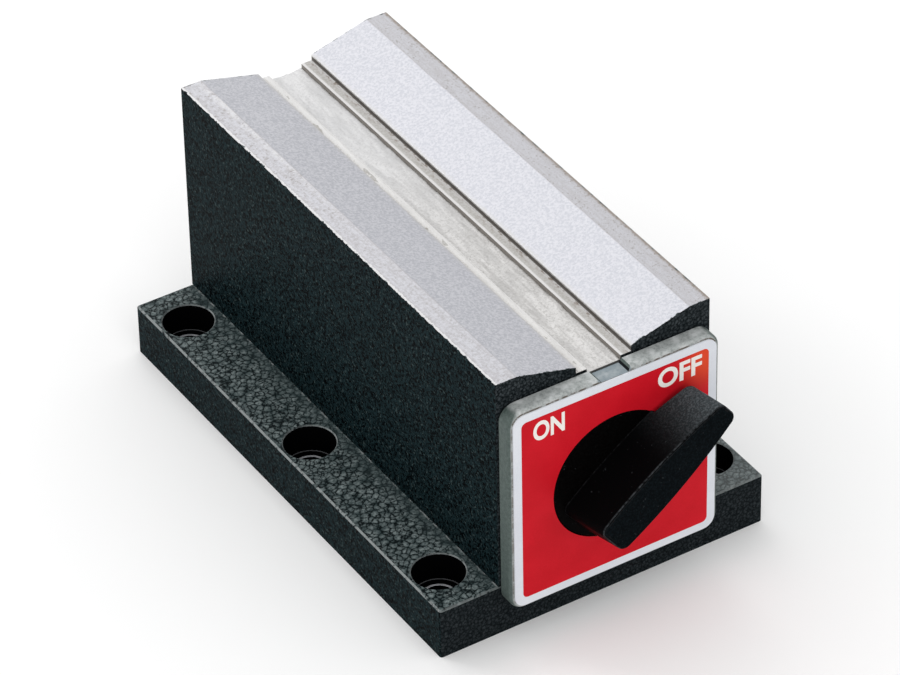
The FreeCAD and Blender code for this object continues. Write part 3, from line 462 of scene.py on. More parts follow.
@dataclass(frozen=True)
class GroundSteel:
    """Ground steel: a sandy grey on the V, grainier and streaked on the flat lands.

    The ledges beside the white metal are light within and beige towards the walls, then painted
    light right by the walls against their shade. The walls are brown grey, darkened by painted
    shade, with a lighter beige band along their top.
    """

    colour: Colour = (0.457, 0.465, 0.503)
    bright: Colour = (0.617, 0.618, 0.653)
    stain: Colour = (0.49, 0.47, 0.475)
    rust: Colour = (0.30, 0.255, 0.22)
    scraped: Colour = (0.72, 0.71, 0.705)
    worn: Colour = (0.76, 0.76, 0.765)
    beige: Colour = (0.555, 0.547, 0.533)
    soiled: Colour = (0.44, 0.425, 0.40)
    drab: Colour = (0.32, 0.30, 0.29)
    step: Colour = (0.24, 0.22, 0.20)
    wall: Colour = (0.12, 0.11, 0.10)
    v_edge: float = 20.2 * MM

    def coat(self, shader: Shader) -> Coat:
        """Adds the ground steel's nodes to a material, and returns what they feed."""
        signed, y, z = shader.apart(shader.where)
        x = shader.size_of(signed)
        back = shader.ramp(y, -25.0 * MM, 45.0 * MM)
        right = shader.over(signed, 0.0)
        up = shader.apart(shader.facing)[2]
        flat = shader.over(up, 0.99)
        streaks = shader.grain(0.5 * MM, 4.0, 0.7, shader.stretched(Axis.ALONG_Y.value))
        sand = shader.grain(0.6 * MM, 4.0, 0.75)
        grit = shader.grain(0.6 * MM, 4.0, 0.75)
        colour = shader.blend(shader.ramp(sand, 0.40, 0.60), self.colour, self.bright)
        strewn = shader.times(flat, shader.choose(right, shader.choose(back, 0.5, 1.0), 0.8))
        coarse = shader.grain(0.9 * MM, 5.0, 0.85)
        specks = shader.times(shader.ramp(shader.choose(right, coarse, grit), 0.53, 0.64), strewn)
        rubbed = shader.plus(shader.times(streaks, 0.4), shader.times(grit, 0.6))
        land = shader.blend(shader.ramp(rubbed, 0.40, 0.58), self.stain, self.bright)
        colour = shader.layer(colour, land, flat, 0.6)
        colour = shader.layer(colour, self.drab, specks)
        frayed = shader.plus(x, shader.times(grit, 2.4 * MM))
        outer = shader.ramp(frayed, 25.2 * MM, 26.0 * MM)
        colour = shader.layer(colour, self.rust, outer, shader.choose(right, 0.2, 0.9))
        rim = shader.ramp(shader.plus(x, shader.times(grit, 1.2 * MM)), HALF_WIDTH, 25.2 * MM)
        colour = shader.layer(colour, self.worn, rim, shader.choose(right, 0.8, 0.0))
        streak = shader.rest(shader.ramp(x, 20.7 * MM, 22.2 * MM))
        streak = shader.times(shader.times(streak, flat), shader.choose(right, back, 0.0))
        streak = shader.times(streak, shader.ramp(shader.grain(2.0 * MM, 5.0, 0.8), 0.40, 0.60))
        colour = shader.layer(colour, self.worn, streak, 0.55)
        crease = shader.size_of(shader.minus(x, self.v_edge))
        crease = shader.rest(shader.ramp(crease, 0.05 * MM, 0.25 * MM))
        crease = shader.times(crease, shader.ramp(rubbed, 0.42, 0.54))
        colour = shader.layer(colour, self.drab, crease, 0.35)
        ragged = shader.plus(x, shader.times(grit, 4.0 * MM))
        lip = shader.rest(shader.ramp(ragged, 8.4 * MM, 9.4 * MM))
        colour = shader.layer(colour, self.beige, lip, 0.6)
        low = shader.under(z, V_FLOOR)
        across = shader.ramp(shader.plus(x, shader.times(grit, 0.8 * MM)), 4.8 * MM, 5.1 * MM)
        soil = shader.blend(shader.ramp(grit, 0.4, 0.6), self.soiled, self.beige)
        ledge = shader.blend(across, self.scraped, soil)
        # The ledge is lightened again next to the wall: painted light that offsets the wall's
        # shade.
        ledge = shader.layer(ledge, self.scraped, shader.ramp(x, 5.2 * MM, 6.5 * MM))
        chips = shader.grain(0.7 * MM, 4.0, 0.75, shader.stretched((1.0, 0.4, 1.0)))
        outward = shader.ramp(x, 4.6 * MM, 6.3 * MM)
        ledge = shader.layer(ledge, self.rust, shader.ramp(chips, 0.50, 0.62), outward)
        colour = shader.layer(colour, ledge, low)
        steep = shader.under(up, 0.5)
        # Steep faces of the channel: dark brown grey walls and a grey step below them, both painted
        # shade, with a ragged lighter beige band along the top of the walls.
        wall_top_band = shader.ramp(shader.plus(z, shader.times(grit, 0.6 * MM)), 58.75 * MM, 58.95 * MM)
        side = shader.blend(wall_top_band, self.wall, self.beige)
        side = shader.layer(side, self.step, shader.under(z, 57.6 * MM))
        return Coat(
            colour=shader.blend(steep, colour, side),
            rough=shader.choose(shader.ramp(sand, 0.35, 0.65), 0.38, 0.5),
            shine=0.5,
            normal=shader.bump(streaks, 0.004 * MM, 0.4, shader.bump(sand, 0.014 * MM, 0.7)),
        )


@dataclass(frozen=True)
class PoleFinish:
    """A pole: ground bright on top, bare in the channel and the bore, painted elsewhere."""

    name: str = "pole_finish"
    top: float = 62.66 * MM
    bore: tuple[float, float] = (32.6 * MM, 16.6 * MM)
    paint: HammerPaint = field(default_factory=HammerPaint)
    steel: GroundSteel = field(default_factory=GroundSteel)

    def make(self) -> Material:
        """The two finishes parted by the direction that the surface faces."""
        shader = Shader(self.name)
        away = shader.apart(shader.facing)[1]
        x, _, z = shader.apart(shader.where)
        near = shader.under(shader.size_of(x), 7.0 * MM)
        high = shader.over(z, 56.0 * MM)
        sideways = shader.under(shader.size_of(away), 0.5)
        channel = shader.times(shader.times(near, high), sideways)
        ground = self.unpainted(shader)
        height, reach = self.bore
        rise = shader.minus(z, height)
        square = shader.plus(shader.times(x, x), shader.times(rise, rise))
        bored = shader.under(square, reach * reach)
        ground = shader.most(ground, shader.most(channel, bored))
        paint = self.paint.coat(shader)
        steel = self.steel.coat(shader)
        shader.set(
            Base_Color=shader.blend(ground, paint.colour, steel.colour),
            Roughness=shader.choose(ground, paint.rough, steel.rough),
            Specular_IOR_Level=shader.choose(ground, paint.shine, steel.shine),
            Metallic=shader.times(ground, shader.choose(shader.under(z, V_FLOOR), 1.0, 0.0)),
            IOR=self.paint.index,
            Normal=shader.blend(ground, paint.normal, steel.normal),
        )
        return shader.material

    def unpainted(self, shader: Shader) -> Socket:
        """Mask of the ground top inside the ragged line that the paint reaches from the edges.

        Where the paint falls short of an outer edge, the side is chipped there too.
        """
        x, y, z = shader.apart(shader.where)
        above = shader.over(shader.apart(shader.facing)[2], 0.5)
        to_side = shader.minus(HALF_WIDTH, shader.size_of(x))
        to_end = shader.minus(HALF_LENGTH, shader.size_of(y))
        to_edge = shader.least(to_side, to_end)
        waver = shader.times(shader.minus(shader.grain(1.6 * MM, 4.0, 0.7), 0.5), 2.0 * MM)
        high = shader.over(shader.minus(z, shader.times(waver, 0.6)), self.top)
        chipped = shader.times(shader.under(to_side, 0.1 * MM), high)
        return shader.most(shader.times(above, shader.over(to_edge, waver)), chipped)


@dataclass(frozen=True)
class PlainMetal:
    """A turned, cast or drawn metal: one colour, a brushed grain and a mottle."""

    name: str
    colour: Colour
    rough: float = 0.35
    brushed: Axis = Axis.ALONG_Y
    grain_size: float = 0.2 * MM
    relief: float = 0.004 * MM
    metallic: float = 1.0
    mottle: float = 0.78

    def make(self) -> Material:
        """The metal as a material."""
        shader = Shader(self.name)
        streaks = shader.grain(self.grain_size, 3.0, 0.6, shader.stretched(self.brushed.value))
        cloud = shader.grain(4.0 * MM, 3.0)
        darker = tuple(value * self.mottle for value in self.colour)
        colour = shader.blend(shader.ramp(streaks, 0.35, 0.7), self.colour, darker)
        colour = shader.blend(shader.ramp(cloud, 0.5, 0.8), colour, darker)
        rough = shader.choose(cloud, self.rough * 0.85, self.rough * 1.2)
        shader.set(Base_Color=colour, Roughness=rough, Metallic=self.metallic,
                   Normal=shader.bump(streaks, self.relief))
        return shader.material


@dataclass(frozen=True)
class DieCastZinc:
    """Die-cast zinc of the front plate: sandy grey on top, greenish and darker by painted shade on
    its flanks.
    """

    name: str = "die_cast_zinc"
    dull: Colour = (0.25, 0.27, 0.265)
    sandy: Colour = (0.40, 0.425, 0.42)
    clean: Colour = (0.56, 0.58, 0.58)
    flank: Colour = (0.052, 0.074, 0.067)
    flank_speck: Colour = (0.088, 0.118, 0.108)
    blued: Colour = (0.19, 0.245, 0.285)
    notch_end: Colour = (0.012, 0.014, 0.016)
    grime_and_label_shade: Colour = (0.10, 0.085, 0.065)
    notch: float = 3.9 * MM
    label_top: float = 55.0 * MM
    label_left: float = -23.5 * MM
    notch_wall: float = 0.4 * MM

    def make(self) -> Material:
        """The zinc as a material, with grime and painted shade along the label and a bluish notch.
        """
        shader = Shader(self.name)
        leftward, away, _ = shader.apart(shader.facing)
        across, away = shader.size_of(leftward), shader.size_of(away)
        sand = shader.grain(0.6 * MM, 4.0, 0.7)
        cloud = shader.grain(3.0 * MM, 3.0, 0.6)
        colour = shader.blend(shader.ramp(sand, 0.34, 0.62), self.dull, self.sandy)
        colour = shader.layer(colour, self.clean, shader.ramp(cloud, 0.45, 0.70))
        middle = shader.under(shader.size_of(shader.apart(shader.where)[0]), self.notch)
        colour = shader.layer(colour, self.blued, middle, shader.choose(cloud, 1.0, 0.3))
        # Flanks in dark green: painted shade on the plate's sides.
        side = shader.blend(shader.ramp(sand, 0.36, 0.66), self.flank, self.flank_speck)
        colour = shader.layer(colour, side, shader.ramp(across, 0.20, 0.60))
        # Left-facing slopes in the notch's lower half are near black and without gloss: painted
        # shade at the notch's end.
        slope = shader.times(shader.under(leftward, -0.3), self.near_notch(shader))
        colour = shader.layer(colour, self.notch_end, slope)
        # A dark broken line on the front rim above and left of the label: grime with painted shade
        # of the label's edge.
        broken = shader.ramp(shader.grain(1.5 * MM, 4.0, 0.7), 0.38, 0.56)
        x, _, z = shader.apart(shader.where)
        beside = shader.times(shader.under(x, self.label_left), 0.7)
        above = shader.most(shader.over(z, self.label_top), beside)
        edge = shader.times(shader.times(shader.ramp(away, 0.88, 0.96), broken), above)
        colour = shader.layer(colour, self.grime_and_label_shade, edge)
        lit = shader.rest(slope)
        shader.set(Base_Color=colour, Roughness=0.6, Metallic=shader.times(lit, 0.2),
                   Specular_IOR_Level=shader.times(lit, 0.5),
                   Normal=shader.bump(sand, 0.03 * MM, 0.7, shader.bump(cloud, 0.08 * MM, 0.6)))
        return shader.material

    def near_notch(self, shader: Shader) -> Socket:
        """Mask of the lower half of the notch in the plate's top edge, with its ends."""
        x, _, z = shader.apart(shader.where)
        inside = shader.under(shader.size_of(x), self.notch + 0.5 * MM)
        low = shader.under(z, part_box("front_plate")[1].z - self.notch_wall)
        return shader.times(shader.times(inside, low), shader.over(z, self.label_top))


@dataclass(frozen=True)
class CastWhiteMetal:
    """White metal as it was poured and scraped: pale and matt, beige along its left border, with a
    painted highlight on the ridge there.
    """

    name: str = "cast_white_metal"
    pale: Colour = (0.71, 0.70, 0.69)
    grey: Colour = (0.54, 0.533, 0.525)
    shade: Colour = (0.45, 0.44, 0.43)
    far: Colour = (0.74, 0.75, 0.775)
    pit: Colour = (0.36, 0.35, 0.335)
    crest: Colour = (0.82, 0.81, 0.795)
    border: Colour = (0.56, 0.54, 0.52)

    def make(self) -> Material:
        """The white metal as a material."""
        shader = Shader(self.name)
        x, y, _ = shader.apart(shader.where)
        lumps = shader.grain(2.4 * MM, 5.0, 0.62, shader.stretched((1.0, 0.2, 1.0)))
        sand = shader.grain(0.5 * MM, 4.0, 0.8)
        streaks = shader.grain(1.1 * MM, 4.0, 0.65, shader.stretched(Axis.ALONG_Y.value))
        colour = shader.blend(shader.ramp(lumps, 0.36, 0.6), self.grey, self.pale)
        colour = shader.layer(colour, self.shade, shader.ramp(streaks, 0.48, 0.68), 0.55)
        colour = shader.layer(colour, self.pit, shader.ramp(sand, 0.48, 0.62), 0.55)
        colour = shader.layer(colour, self.far, shader.ramp(y, -20.0 * MM, 35.0 * MM), 0.4)
        frayed = shader.plus(x, shader.times(sand, 5.0 * MM))
        # A lighter band on the ridge at the left border: a painted highlight.
        crest = shader.rest(shader.ramp(frayed, -1.6 * MM, -0.4 * MM))
        colour = shader.layer(colour, self.crest, crest, 0.55)
        edge = shader.rest(shader.ramp(frayed, -3.3 * MM, -2.7 * MM))
        colour = shader.layer(colour, self.border, edge, 0.8)
        normal = shader.bump(lumps, 0.10 * MM, 0.6, shader.bump(sand, 0.03 * MM, 0.6))
        shader.set(Base_Color=colour, Roughness=0.55, Metallic=0.1, Specular_IOR_Level=0.4,
                   Normal=normal)
        return shader.material


@dataclass(frozen=True)
class PrintedFoil:
    """Printed dial foil: a satin ink with a faint speckle, faded at one corner if asked for."""

    name: str
    ink: Colour
    shade: Colour
    faded: Colour | None = None
    faded_at: Colour = (22.0 * MM, -64.3 * MM, 52.0 * MM)

    def make(self) -> Material:
        """The ink as a material."""
        shader = Shader(self.name)
        cloud = shader.grain(9.0 * MM, 2.0)
        speck = shader.grain(0.3 * MM, 3.0)
        mottle = shader.plus(shader.times(cloud, 0.6), shader.times(speck, 0.4))
        colour = shader.blend(shader.ramp(mottle, 0.35, 0.65), self.ink, self.shade)
        if self.faded is not None:
            near = shader.rest(shader.ramp(shader.distance(self.faded_at), 1.0 * MM, 9.0 * MM))
            colour = shader.layer(colour, self.faded, near)
        shader.set(Base_Color=colour, Roughness=0.4, Specular_IOR_Level=0.06,
                   Normal=shader.bump(speck, 0.003 * MM, 0.5))
        return shader.material


@dataclass(frozen=True)
class MouldedPlastic:
    """Moulded plastic with a fine spark-eroded grain."""

    name: str
    colour: Colour
    rough: float = 0.42
    shine: float = 0.3

    def make(self) -> Material:
        """The plastic as a material."""
        shader = Shader(self.name)
        grain = shader.grain(0.4 * MM, 4.0, 0.6)
        cloud = shader.grain(6.0 * MM, 2.0)
        worn = tuple(value * 1.8 + 0.001 for value in self.colour)
        colour = shader.blend(shader.ramp(grain, 0.5, 0.75), self.colour, worn)
        rough = shader.choose(cloud, self.rough * 0.85, self.rough * 1.15)
        shader.set(Base_Color=colour, Roughness=rough, Specular_IOR_Level=self.shine,
                   Normal=shader.bump(grain, 0.022 * MM, 0.7))
        return shader.material


def dress(node: bpy.types.Object, material: Material) -> None:
    """Gives a piece its one material.

    Args:
        node: The piece.
        material: Its finish.
    """
    node.data.materials.clear()
    node.data.materials.append(material)


def shown(name: str, mesh: bmesh.types.BMesh, material: Material, body: Body,
          smooth: bool = False) -> bpy.types.Object:
    """Turns a finished bmesh into a piece of the scene that rides on a body.

    Args:
        name: The piece's name.
        mesh: Its form, in the row frame; it is freed.
        material: Its finish.
        body: The body that it moves with.
        smooth: Whether its faces are shaded smooth.

    Returns:
        The new piece.
    """
    data = bpy.data.meshes.new(name)
    mesh.to_mesh(data)
    mesh.free()
    if smooth:
        data.shade_smooth()
    piece = bpy.data.objects.new(name, data)
    bpy.context.scene.collection.objects.link(piece)
    dress(piece, material)
    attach(piece, body.value)
    return piece


@dataclass
class Base:
    """The flange with its fasteners."""

    paint: HammerPaint = field(default_factory=HammerPaint)

    def build(self, nodes: Nodes) -> None:
        """Dresses the flange, its screws and its dowels."""
        dress(nodes["base_flange"], self.paint.make())
        black = PlainMetal("black_steel", (0.05, 0.05, 0.055), 0.4, Axis.ALONG_Z)
        dress(nodes["base_screws"], black.make())
        bright = PlainMetal("dowel_steel", (0.55, 0.55, 0.56), 0.25, Axis.ALONG_Z)
        dress(nodes["base_dowels"], bright.make())


@dataclass
class PoleBlock:
    """The two poles and the white metal between them."""

    finish: PoleFinish = field(default_factory=PoleFinish)
    strip_width: float = 7.84 * MM
    dish: float = 0.28 * MM
    skin: float = 0.18 * MM
    lump: float = 0.22 * MM
    ledge_step: float = 1.2 * MM
    overrun: float = 5.9 * MM
    fillet: float = 0.35 * MM
    spill: float = 0.30 * MM

    def build(self, nodes: Nodes) -> None:
        """Dresses the poles and the separators."""
        pole = self.finish.make()
        white = CastWhiteMetal().make()
        for name in ("left_pole", "right_pole"):
            dress(nodes[name], pole)
        for name in ("top_separator", "bottom_separator"):
            dress(nodes[name], white)
        cover = PlainMetal("cover_steel", (0.5, 0.5, 0.51), 0.3, Axis.ALONG_X)
        dress(nodes["rear_cover"], cover.make())
        self.cast_face(white)

    def cast_face(self, white: Material) -> None:
        """Lays the rough cast skin over the top separator, run over on to the ledge at its left.

        Args:
            white: The white metal's finish.
        """
        low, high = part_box("top_separator")
        left, right = -self.overrun, self.strip_width / 2
        length = high.y - low.y
        strip = bmesh.new()
        bmesh.ops.create_grid(strip, x_segments=34, y_segments=420, size=0.5)
        for vert in strip.verts:
            x = left + (vert.co.x + 0.5) * (right - left)
            y = vert.co.y * length
            vert.co = Vector((x, y, high.z + self.cast_height(x, y)))
        lip = bmesh.ops.extrude_face_region(strip, geom=list(strip.faces))
        sunk = [item for item in lip["geom"] if isinstance(item, bmesh.types.BMVert)]
        for vert in sunk:
            vert.co.z -= self.skin * 2
        bmesh.ops.recalc_face_normals(strip, faces=strip.faces)
        shown("separator_cast_face", strip, white, Body.BLOCK, smooth=True)

    def cast_height(self, x: float, y: float) -> float:
        """Height of the cast skin over the separator's top edges.

        Args:
            x: Place across the channel.
            y: Place along it.

        Returns:
            The height in metres, below 0 in the dish.
        """
        half = self.strip_width / 2
        rough = self.roughness_at(Vector((x, y, 0.0)))
        across = max(-1.0, min(1.0, x / half))
        inside = self.skin - self.dish * (1 - across * across) + rough
        if x > -half + self.fillet:
            return inside
        share = min(1.0, (-half + self.fillet - x) / (2 * self.fillet))
        rise = share * share * (3 - 2 * share)
        lumps = self.roughness_at(Vector((x * 0.7, y * 0.6, 2.0)))
        spill = self.ledge_step + self.spill * (0.45 + lumps / self.lump)
        return inside * (1 - rise) + spill * rise

    def roughness_at(self, place: Vector) -> float:
        """Height of the cast skin's lumps at a place on the strip, in metres."""
        long = Vector((place.x / (1.5 * MM), place.y / (4.0 * MM), 0.3))
        fine = Vector((place.x / (0.55 * MM), place.y / (0.8 * MM), 4.7))
        lumps = noise.fractal(long, 0.6, 2.1, 4, noise_basis="PERLIN_ORIGINAL")
        return self.lump * (0.75 * lumps + 0.25 * noise.noise(fine))


@dataclass
class Dial:
    """The front plate with its gasket, its label and the words ON and OFF."""

    border: float = 1.85 * MM
    panel_corner: float = 1.2 * MM
    print_thickness: float = 0.02 * MM
    stroke_gain: float = 0.14 * MM
    panel_hole: float = 14.65 * MM
    words: dict[str, tuple[Pair, Pair]] = field(default_factory=lambda: {
        "ON": ((-15.58 * MM, 51.17 * MM), (7.3 * MM, 4.7 * MM)),
        "OFF": ((15.11 * MM, 51.37 * MM), (10.4 * MM, 4.7 * MM)),
    })

    def build(self, nodes: Nodes) -> None:
        """Dresses the plate and prints the label."""
        dress(nodes["front_plate"], DieCastZinc().make())
        dress(nodes["front_gasket"], MouldedPlastic("gasket_sheet", (0.02, 0.02, 0.02), 0.7).make())
        dress(nodes["plate_screws"], PlainMetal("screw_steel", (0.5, 0.5, 0.5), 0.3).make())
        white = PrintedFoil("white_print", (0.71, 0.73, 0.77), (0.65, 0.67, 0.72)).make()
        dress(nodes["dial_label"], white)
        self.print_panel()
        cream = PrintedFoil("cream_print", (0.86, 0.83, 0.79), (0.80, 0.77, 0.73)).make()
        for word, (place, size) in self.words.items():
            self.print_word(word, Vector(place), size, cream)

    def print_word(self, word: str, middle: Vector, size: Pair, ink: Material) -> None:
        """Prints a word on the red panel.

        Args:
            word: The letters.
            middle: Middle of the word, across and up.
            size: Width and height of the word.
            ink: Its finish.
        """
        low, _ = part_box("dial_label")
        line = bpy.data.curves.new(f"word_{word.lower()}", "FONT")
        line.body = word
        line.size = size[1]
        line.offset = self.stroke_gain
        line.extrude = self.print_thickness / 2
        line.resolution_u = 6
        writing = bpy.data.objects.new(line.name, line)
        bpy.context.scene.collection.objects.link(writing)
        bpy.context.view_layer.update()
        letters = bmesh.new()
        data = bpy.data.meshes.new_from_object(writing)
        letters.from_mesh(data)
        bpy.data.objects.remove(writing)
        bpy.data.meshes.remove(data)
        lows = Vector([min(vert.co[axis] for vert in letters.verts) for axis in range(3)])
        highs = Vector([max(vert.co[axis] for vert in letters.verts) for axis in range(3)])
        centre = (lows + highs) / 2
        span = highs - lows
        fitted = Matrix.Diagonal((size[0] / span.x, size[1] / span.y, 1.0, 1.0))
        fitted = fitted @ Matrix.Translation(-centre)
        standing = Matrix.Rotation(math.pi / 2, 4, "X")
        front = low.y - self.print_thickness * 1.5
        placed = Matrix.Translation((middle.x, front, middle.y)) @ standing @ fitted
        bmesh.ops.transform(letters, matrix=placed, verts=letters.verts)
        bmesh.ops.remove_doubles(letters, verts=letters.verts, dist=1e-7)
        shown(f"word_{word.lower()}", letters, ink, Body.BLOCK)

    def print_panel(self) -> None:
        """Lays the red panel over the label, with a hole for the knob and a white rim round it."""
        low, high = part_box("dial_label")
        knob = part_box("knob_seal")
        centre = (knob[0] + knob[1]) / 2
        half = (high.x - low.x) / 2 - self.border
        red = bmesh.new()
        corners = []
        steps = 8
        for quarter in range(4):
            corner = Vector((half - self.panel_corner, half - self.panel_corner))
            for step in range(steps + 1):
                angle = (quarter + step / steps) * math.pi / 2
                turn = Matrix.Rotation(quarter * math.pi / 2, 2)
                bend = Vector((math.cos(angle), math.sin(angle))) * self.panel_corner
                spot = turn @ corner + bend
                corners.append(red.verts.new((spot.x, low.y, (low.z + high.z) / 2 + spot.y)))
        outer = [red.edges.new(pair) for pair in zip(corners, corners[1:] + corners[:1])]
        ring = bmesh.ops.create_circle(red, segments=96, radius=self.panel_hole)
        turned = Matrix.Translation((centre.x, low.y, centre.z))
        turned = turned @ Matrix.Rotation(math.pi / 2, 4, "X")
        bmesh.ops.transform(red, matrix=turned, verts=ring["verts"])
        inner = [edge for edge in red.edges if edge not in set(outer)]
        bmesh.ops.triangle_fill(red, edges=outer + inner, use_beauty=True, normal=(0, -1, 0))
        grown = bmesh.ops.extrude_face_region(red, geom=list(red.faces))
        moved = [item for item in grown["geom"] if isinstance(item, bmesh.types.BMVert)]
        bmesh.ops.translate(red, verts=moved, vec=(0, -self.print_thickness, 0))
        bmesh.ops.recalc_face_normals(red, faces=red.faces)
        ink = PrintedFoil(
            "red_print", (0.51, 0.006, 0.014), (0.57, 0.008, 0.018), (0.70, 0.06, 0.02)).make()
        shown("red_panel", red, ink, Body.BLOCK)


@dataclass(frozen=True)
class WornBlackPlastic:
    """Black moulded plastic of the knob, greyed by finger wear and a painted sheen on the lever's
    flanks towards the tip, and lighter along its edges by polish and painted highlights.

    The pattern follows the lever's own directions, along it and across it.
    """

    name: str = "knob_plastic"
    colour: Colour = (0.0008, 0.0006, 0.0006)
    speck: Colour = (0.0030, 0.0028, 0.0028)
    face: Colour = (0.0010, 0.0020, 0.0026)
    face_speck: Colour = (0.0042, 0.0070, 0.0088)
    flank: Colour = (0.0018, 0.0017, 0.0019)
    worn: Colour = (0.042, 0.050, 0.054)
    worn_and_sheen_speck: Colour = (0.115, 0.132, 0.142)
    edge: Colour = (0.042, 0.046, 0.050)
    line: Colour = (0.014, 0.014, 0.015)
    axis_height: float = 32.6 * MM
    disc_face: float = -64.3 * MM
    front_face: float = -75.5 * MM
    lever_angle: float = 37.5
    tail: float = -10.4 * MM
    tip: float = 24.4 * MM
    half_width: float = 3.675 * MM
    taper: float = 0.0445
    bow: float = 1.21 * MM
    border: float = 0.4 * MM
    sunk: float = 0.12 * MM

    def make(self) -> Material:
        """The plastic as a material."""
        shader = Shader(self.name)
        x, y, z = shader.apart(shader.where)
        away = shader.size_of(shader.apart(shader.facing)[1])
        grain = shader.grain(0.42 * MM, 4.0, 0.7)
        specks = shader.ramp(grain, 0.42, 0.66)
        along, across, inset = self.front_outline(shader, x, z)
        proud = shader.under(y, self.disc_face - 0.1 * MM)
        flank = shader.times(proud, shader.rest(shader.ramp(away, 0.3, 0.6)))
        front = shader.under(y, self.front_face + 0.02 * MM)
        # Flanks are greyer towards the tip: finger wear with a painted sheen.
        tipward_wear_and_sheen = shader.ramp(along, 4.0 * MM, 26.0 * MM)
        tipward_wear_and_sheen = shader.times(tipward_wear_and_sheen, tipward_wear_and_sheen)
        plain = shader.blend(specks, shader.blend(front, self.colour, self.face),
                             shader.blend(front, self.speck, self.face_speck))
        rubbed = shader.blend(tipward_wear_and_sheen, self.flank, shader.blend(specks, self.worn, self.worn_and_sheen_speck))
        colour = shader.blend(flank, plain, rubbed)
        dust = shader.ramp(shader.grain(0.8 * MM, 2.0, 0.6), 0.70, 0.76)
        colour = shader.layer(colour, self.edge, dust, 0.6)
        # Rounded edges are lighter in broken lines: polish with a painted highlight.
        rounding = shader.rest(shader.ramp(away, 0.8, 0.95))
        rounding = shader.times(shader.ramp(away, 0.25, 0.5), rounding)
        broken = shader.ramp(shader.grain(0.9 * MM, 4.0, 0.75), 0.35, 0.65)
        polish_and_highlight = shader.times(shader.times(rounding, proud), broken)
        colour = shader.layer(colour, self.edge, polish_and_highlight)
        # A light line along the lever's foot on the disc: a painted highlight.
        foot = shader.times(flank, shader.over(y, self.disc_face - 0.35 * MM))
        colour = shader.layer(colour, self.line, foot, broken)
        # A light line just inside the front face's outline on its upper side, beside a sunk bump: a
        # painted highlight of the step.
        inner = shader.ramp(inset, self.border, self.border + 0.15 * MM)
        ledge = shader.ramp(inset, self.border + 0.2 * MM, self.border + 0.4 * MM)
        ledge = shader.times(inner, shader.rest(ledge))
        upper = shader.times(shader.over(across, 0.0), broken)
        ledge = shader.times(shader.times(ledge, front), upper)
        colour = shader.layer(colour, self.line, ledge, 0.8)
        sunk = shader.bump(shader.rest(inner), self.sunk, 0.8)
        shader.set(Base_Color=colour, Roughness=0.45, IOR=1.06, Specular_IOR_Level=0.5,
                   Normal=shader.bump(grain, 0.03 * MM, 0.8, sunk))
        return shader.material

    def front_outline(self, shader: Shader, x: Socket, z: Socket) -> tuple[Socket, Socket, Socket]:
        """Place along and across the lever, and distance inwards from its front face's outline.

        Args:
            shader: The material under construction.
            x: Place to the right.
            z: Place upwards.

        Returns:
            Metres from the knob's axis towards the tip and towards the upper side, and metres
            inside the outline.
        """
        turn = math.radians(self.lever_angle)
        rise = shader.minus(z, self.axis_height)
        level, steep = math.cos(turn), math.sin(turn)
        along = shader.plus(shader.times(x, level), shader.times(rise, steep))
        across = shader.minus(shader.times(rise, level), shader.times(x, steep))
        off_middle = shader.minus(along, (self.tip + self.tail) / 2)
        share = shader.maths("DIVIDE", off_middle, (self.tip - self.tail) / 2)
        bulge = shader.times(shader.rest(shader.times(share, share)), self.bow)
        half = shader.plus(bulge, self.half_width)
        half = shader.minus(half, shader.times(off_middle, self.taper))
        to_side = shader.minus(half, shader.size_of(across))
        to_end = shader.least(shader.minus(along, self.tail), shader.minus(self.tip, along))
        return along, across, shader.least(to_side, to_end)


@dataclass
class Knob:
    """The knob and its seal."""

    plastic: WornBlackPlastic = field(default_factory=WornBlackPlastic)

    def build(self, nodes: Nodes) -> None:
        """Dresses the knob."""
        dress(nodes["knob"], self.plastic.make())
        dress(nodes["knob_seal"], MouldedPlastic("seal_rubber", (0.01, 0.01, 0.01), 0.6).make())


@dataclass
class Rotor:
    """The pieces that turn inside the bore."""

    def build(self, nodes: Nodes) -> None:
        """Dresses the rotor and its bearings."""
        bronze = PlainMetal("bronze", (0.62, 0.42, 0.2), 0.32).make()
        steel = PlainMetal("rotor_steel", (0.5, 0.5, 0.5), 0.35).make()
        bars = PlainMetal("bar_aluminium", (0.78, 0.79, 0.8), 0.35).make()
        ferrite = PlainMetal("ferrite", (0.07, 0.07, 0.075), 0.55, metallic=0.2).make()
        nylon = MouldedPlastic("nylon", (0.72, 0.70, 0.62), 0.5).make()
        finishes = {
            "front_bearing": bronze, "rear_bearing": bronze,
            "front_hub": bronze, "rear_hub": bronze,
            "front_hub_screws": steel, "rear_hub_screws": steel, "stop_pin": steel,
            "upper_shoe": steel, "lower_shoe": steel, "left_side_bar": bars, "right_side_bar": bars,
            "front_thrust_washer": nylon, "rear_thrust_washer": nylon,
        }
        finishes.update({name: ferrite for name in nodes if name.startswith("magnet_")})
        for name, finish in finishes.items():
            dress(nodes[name], finish)


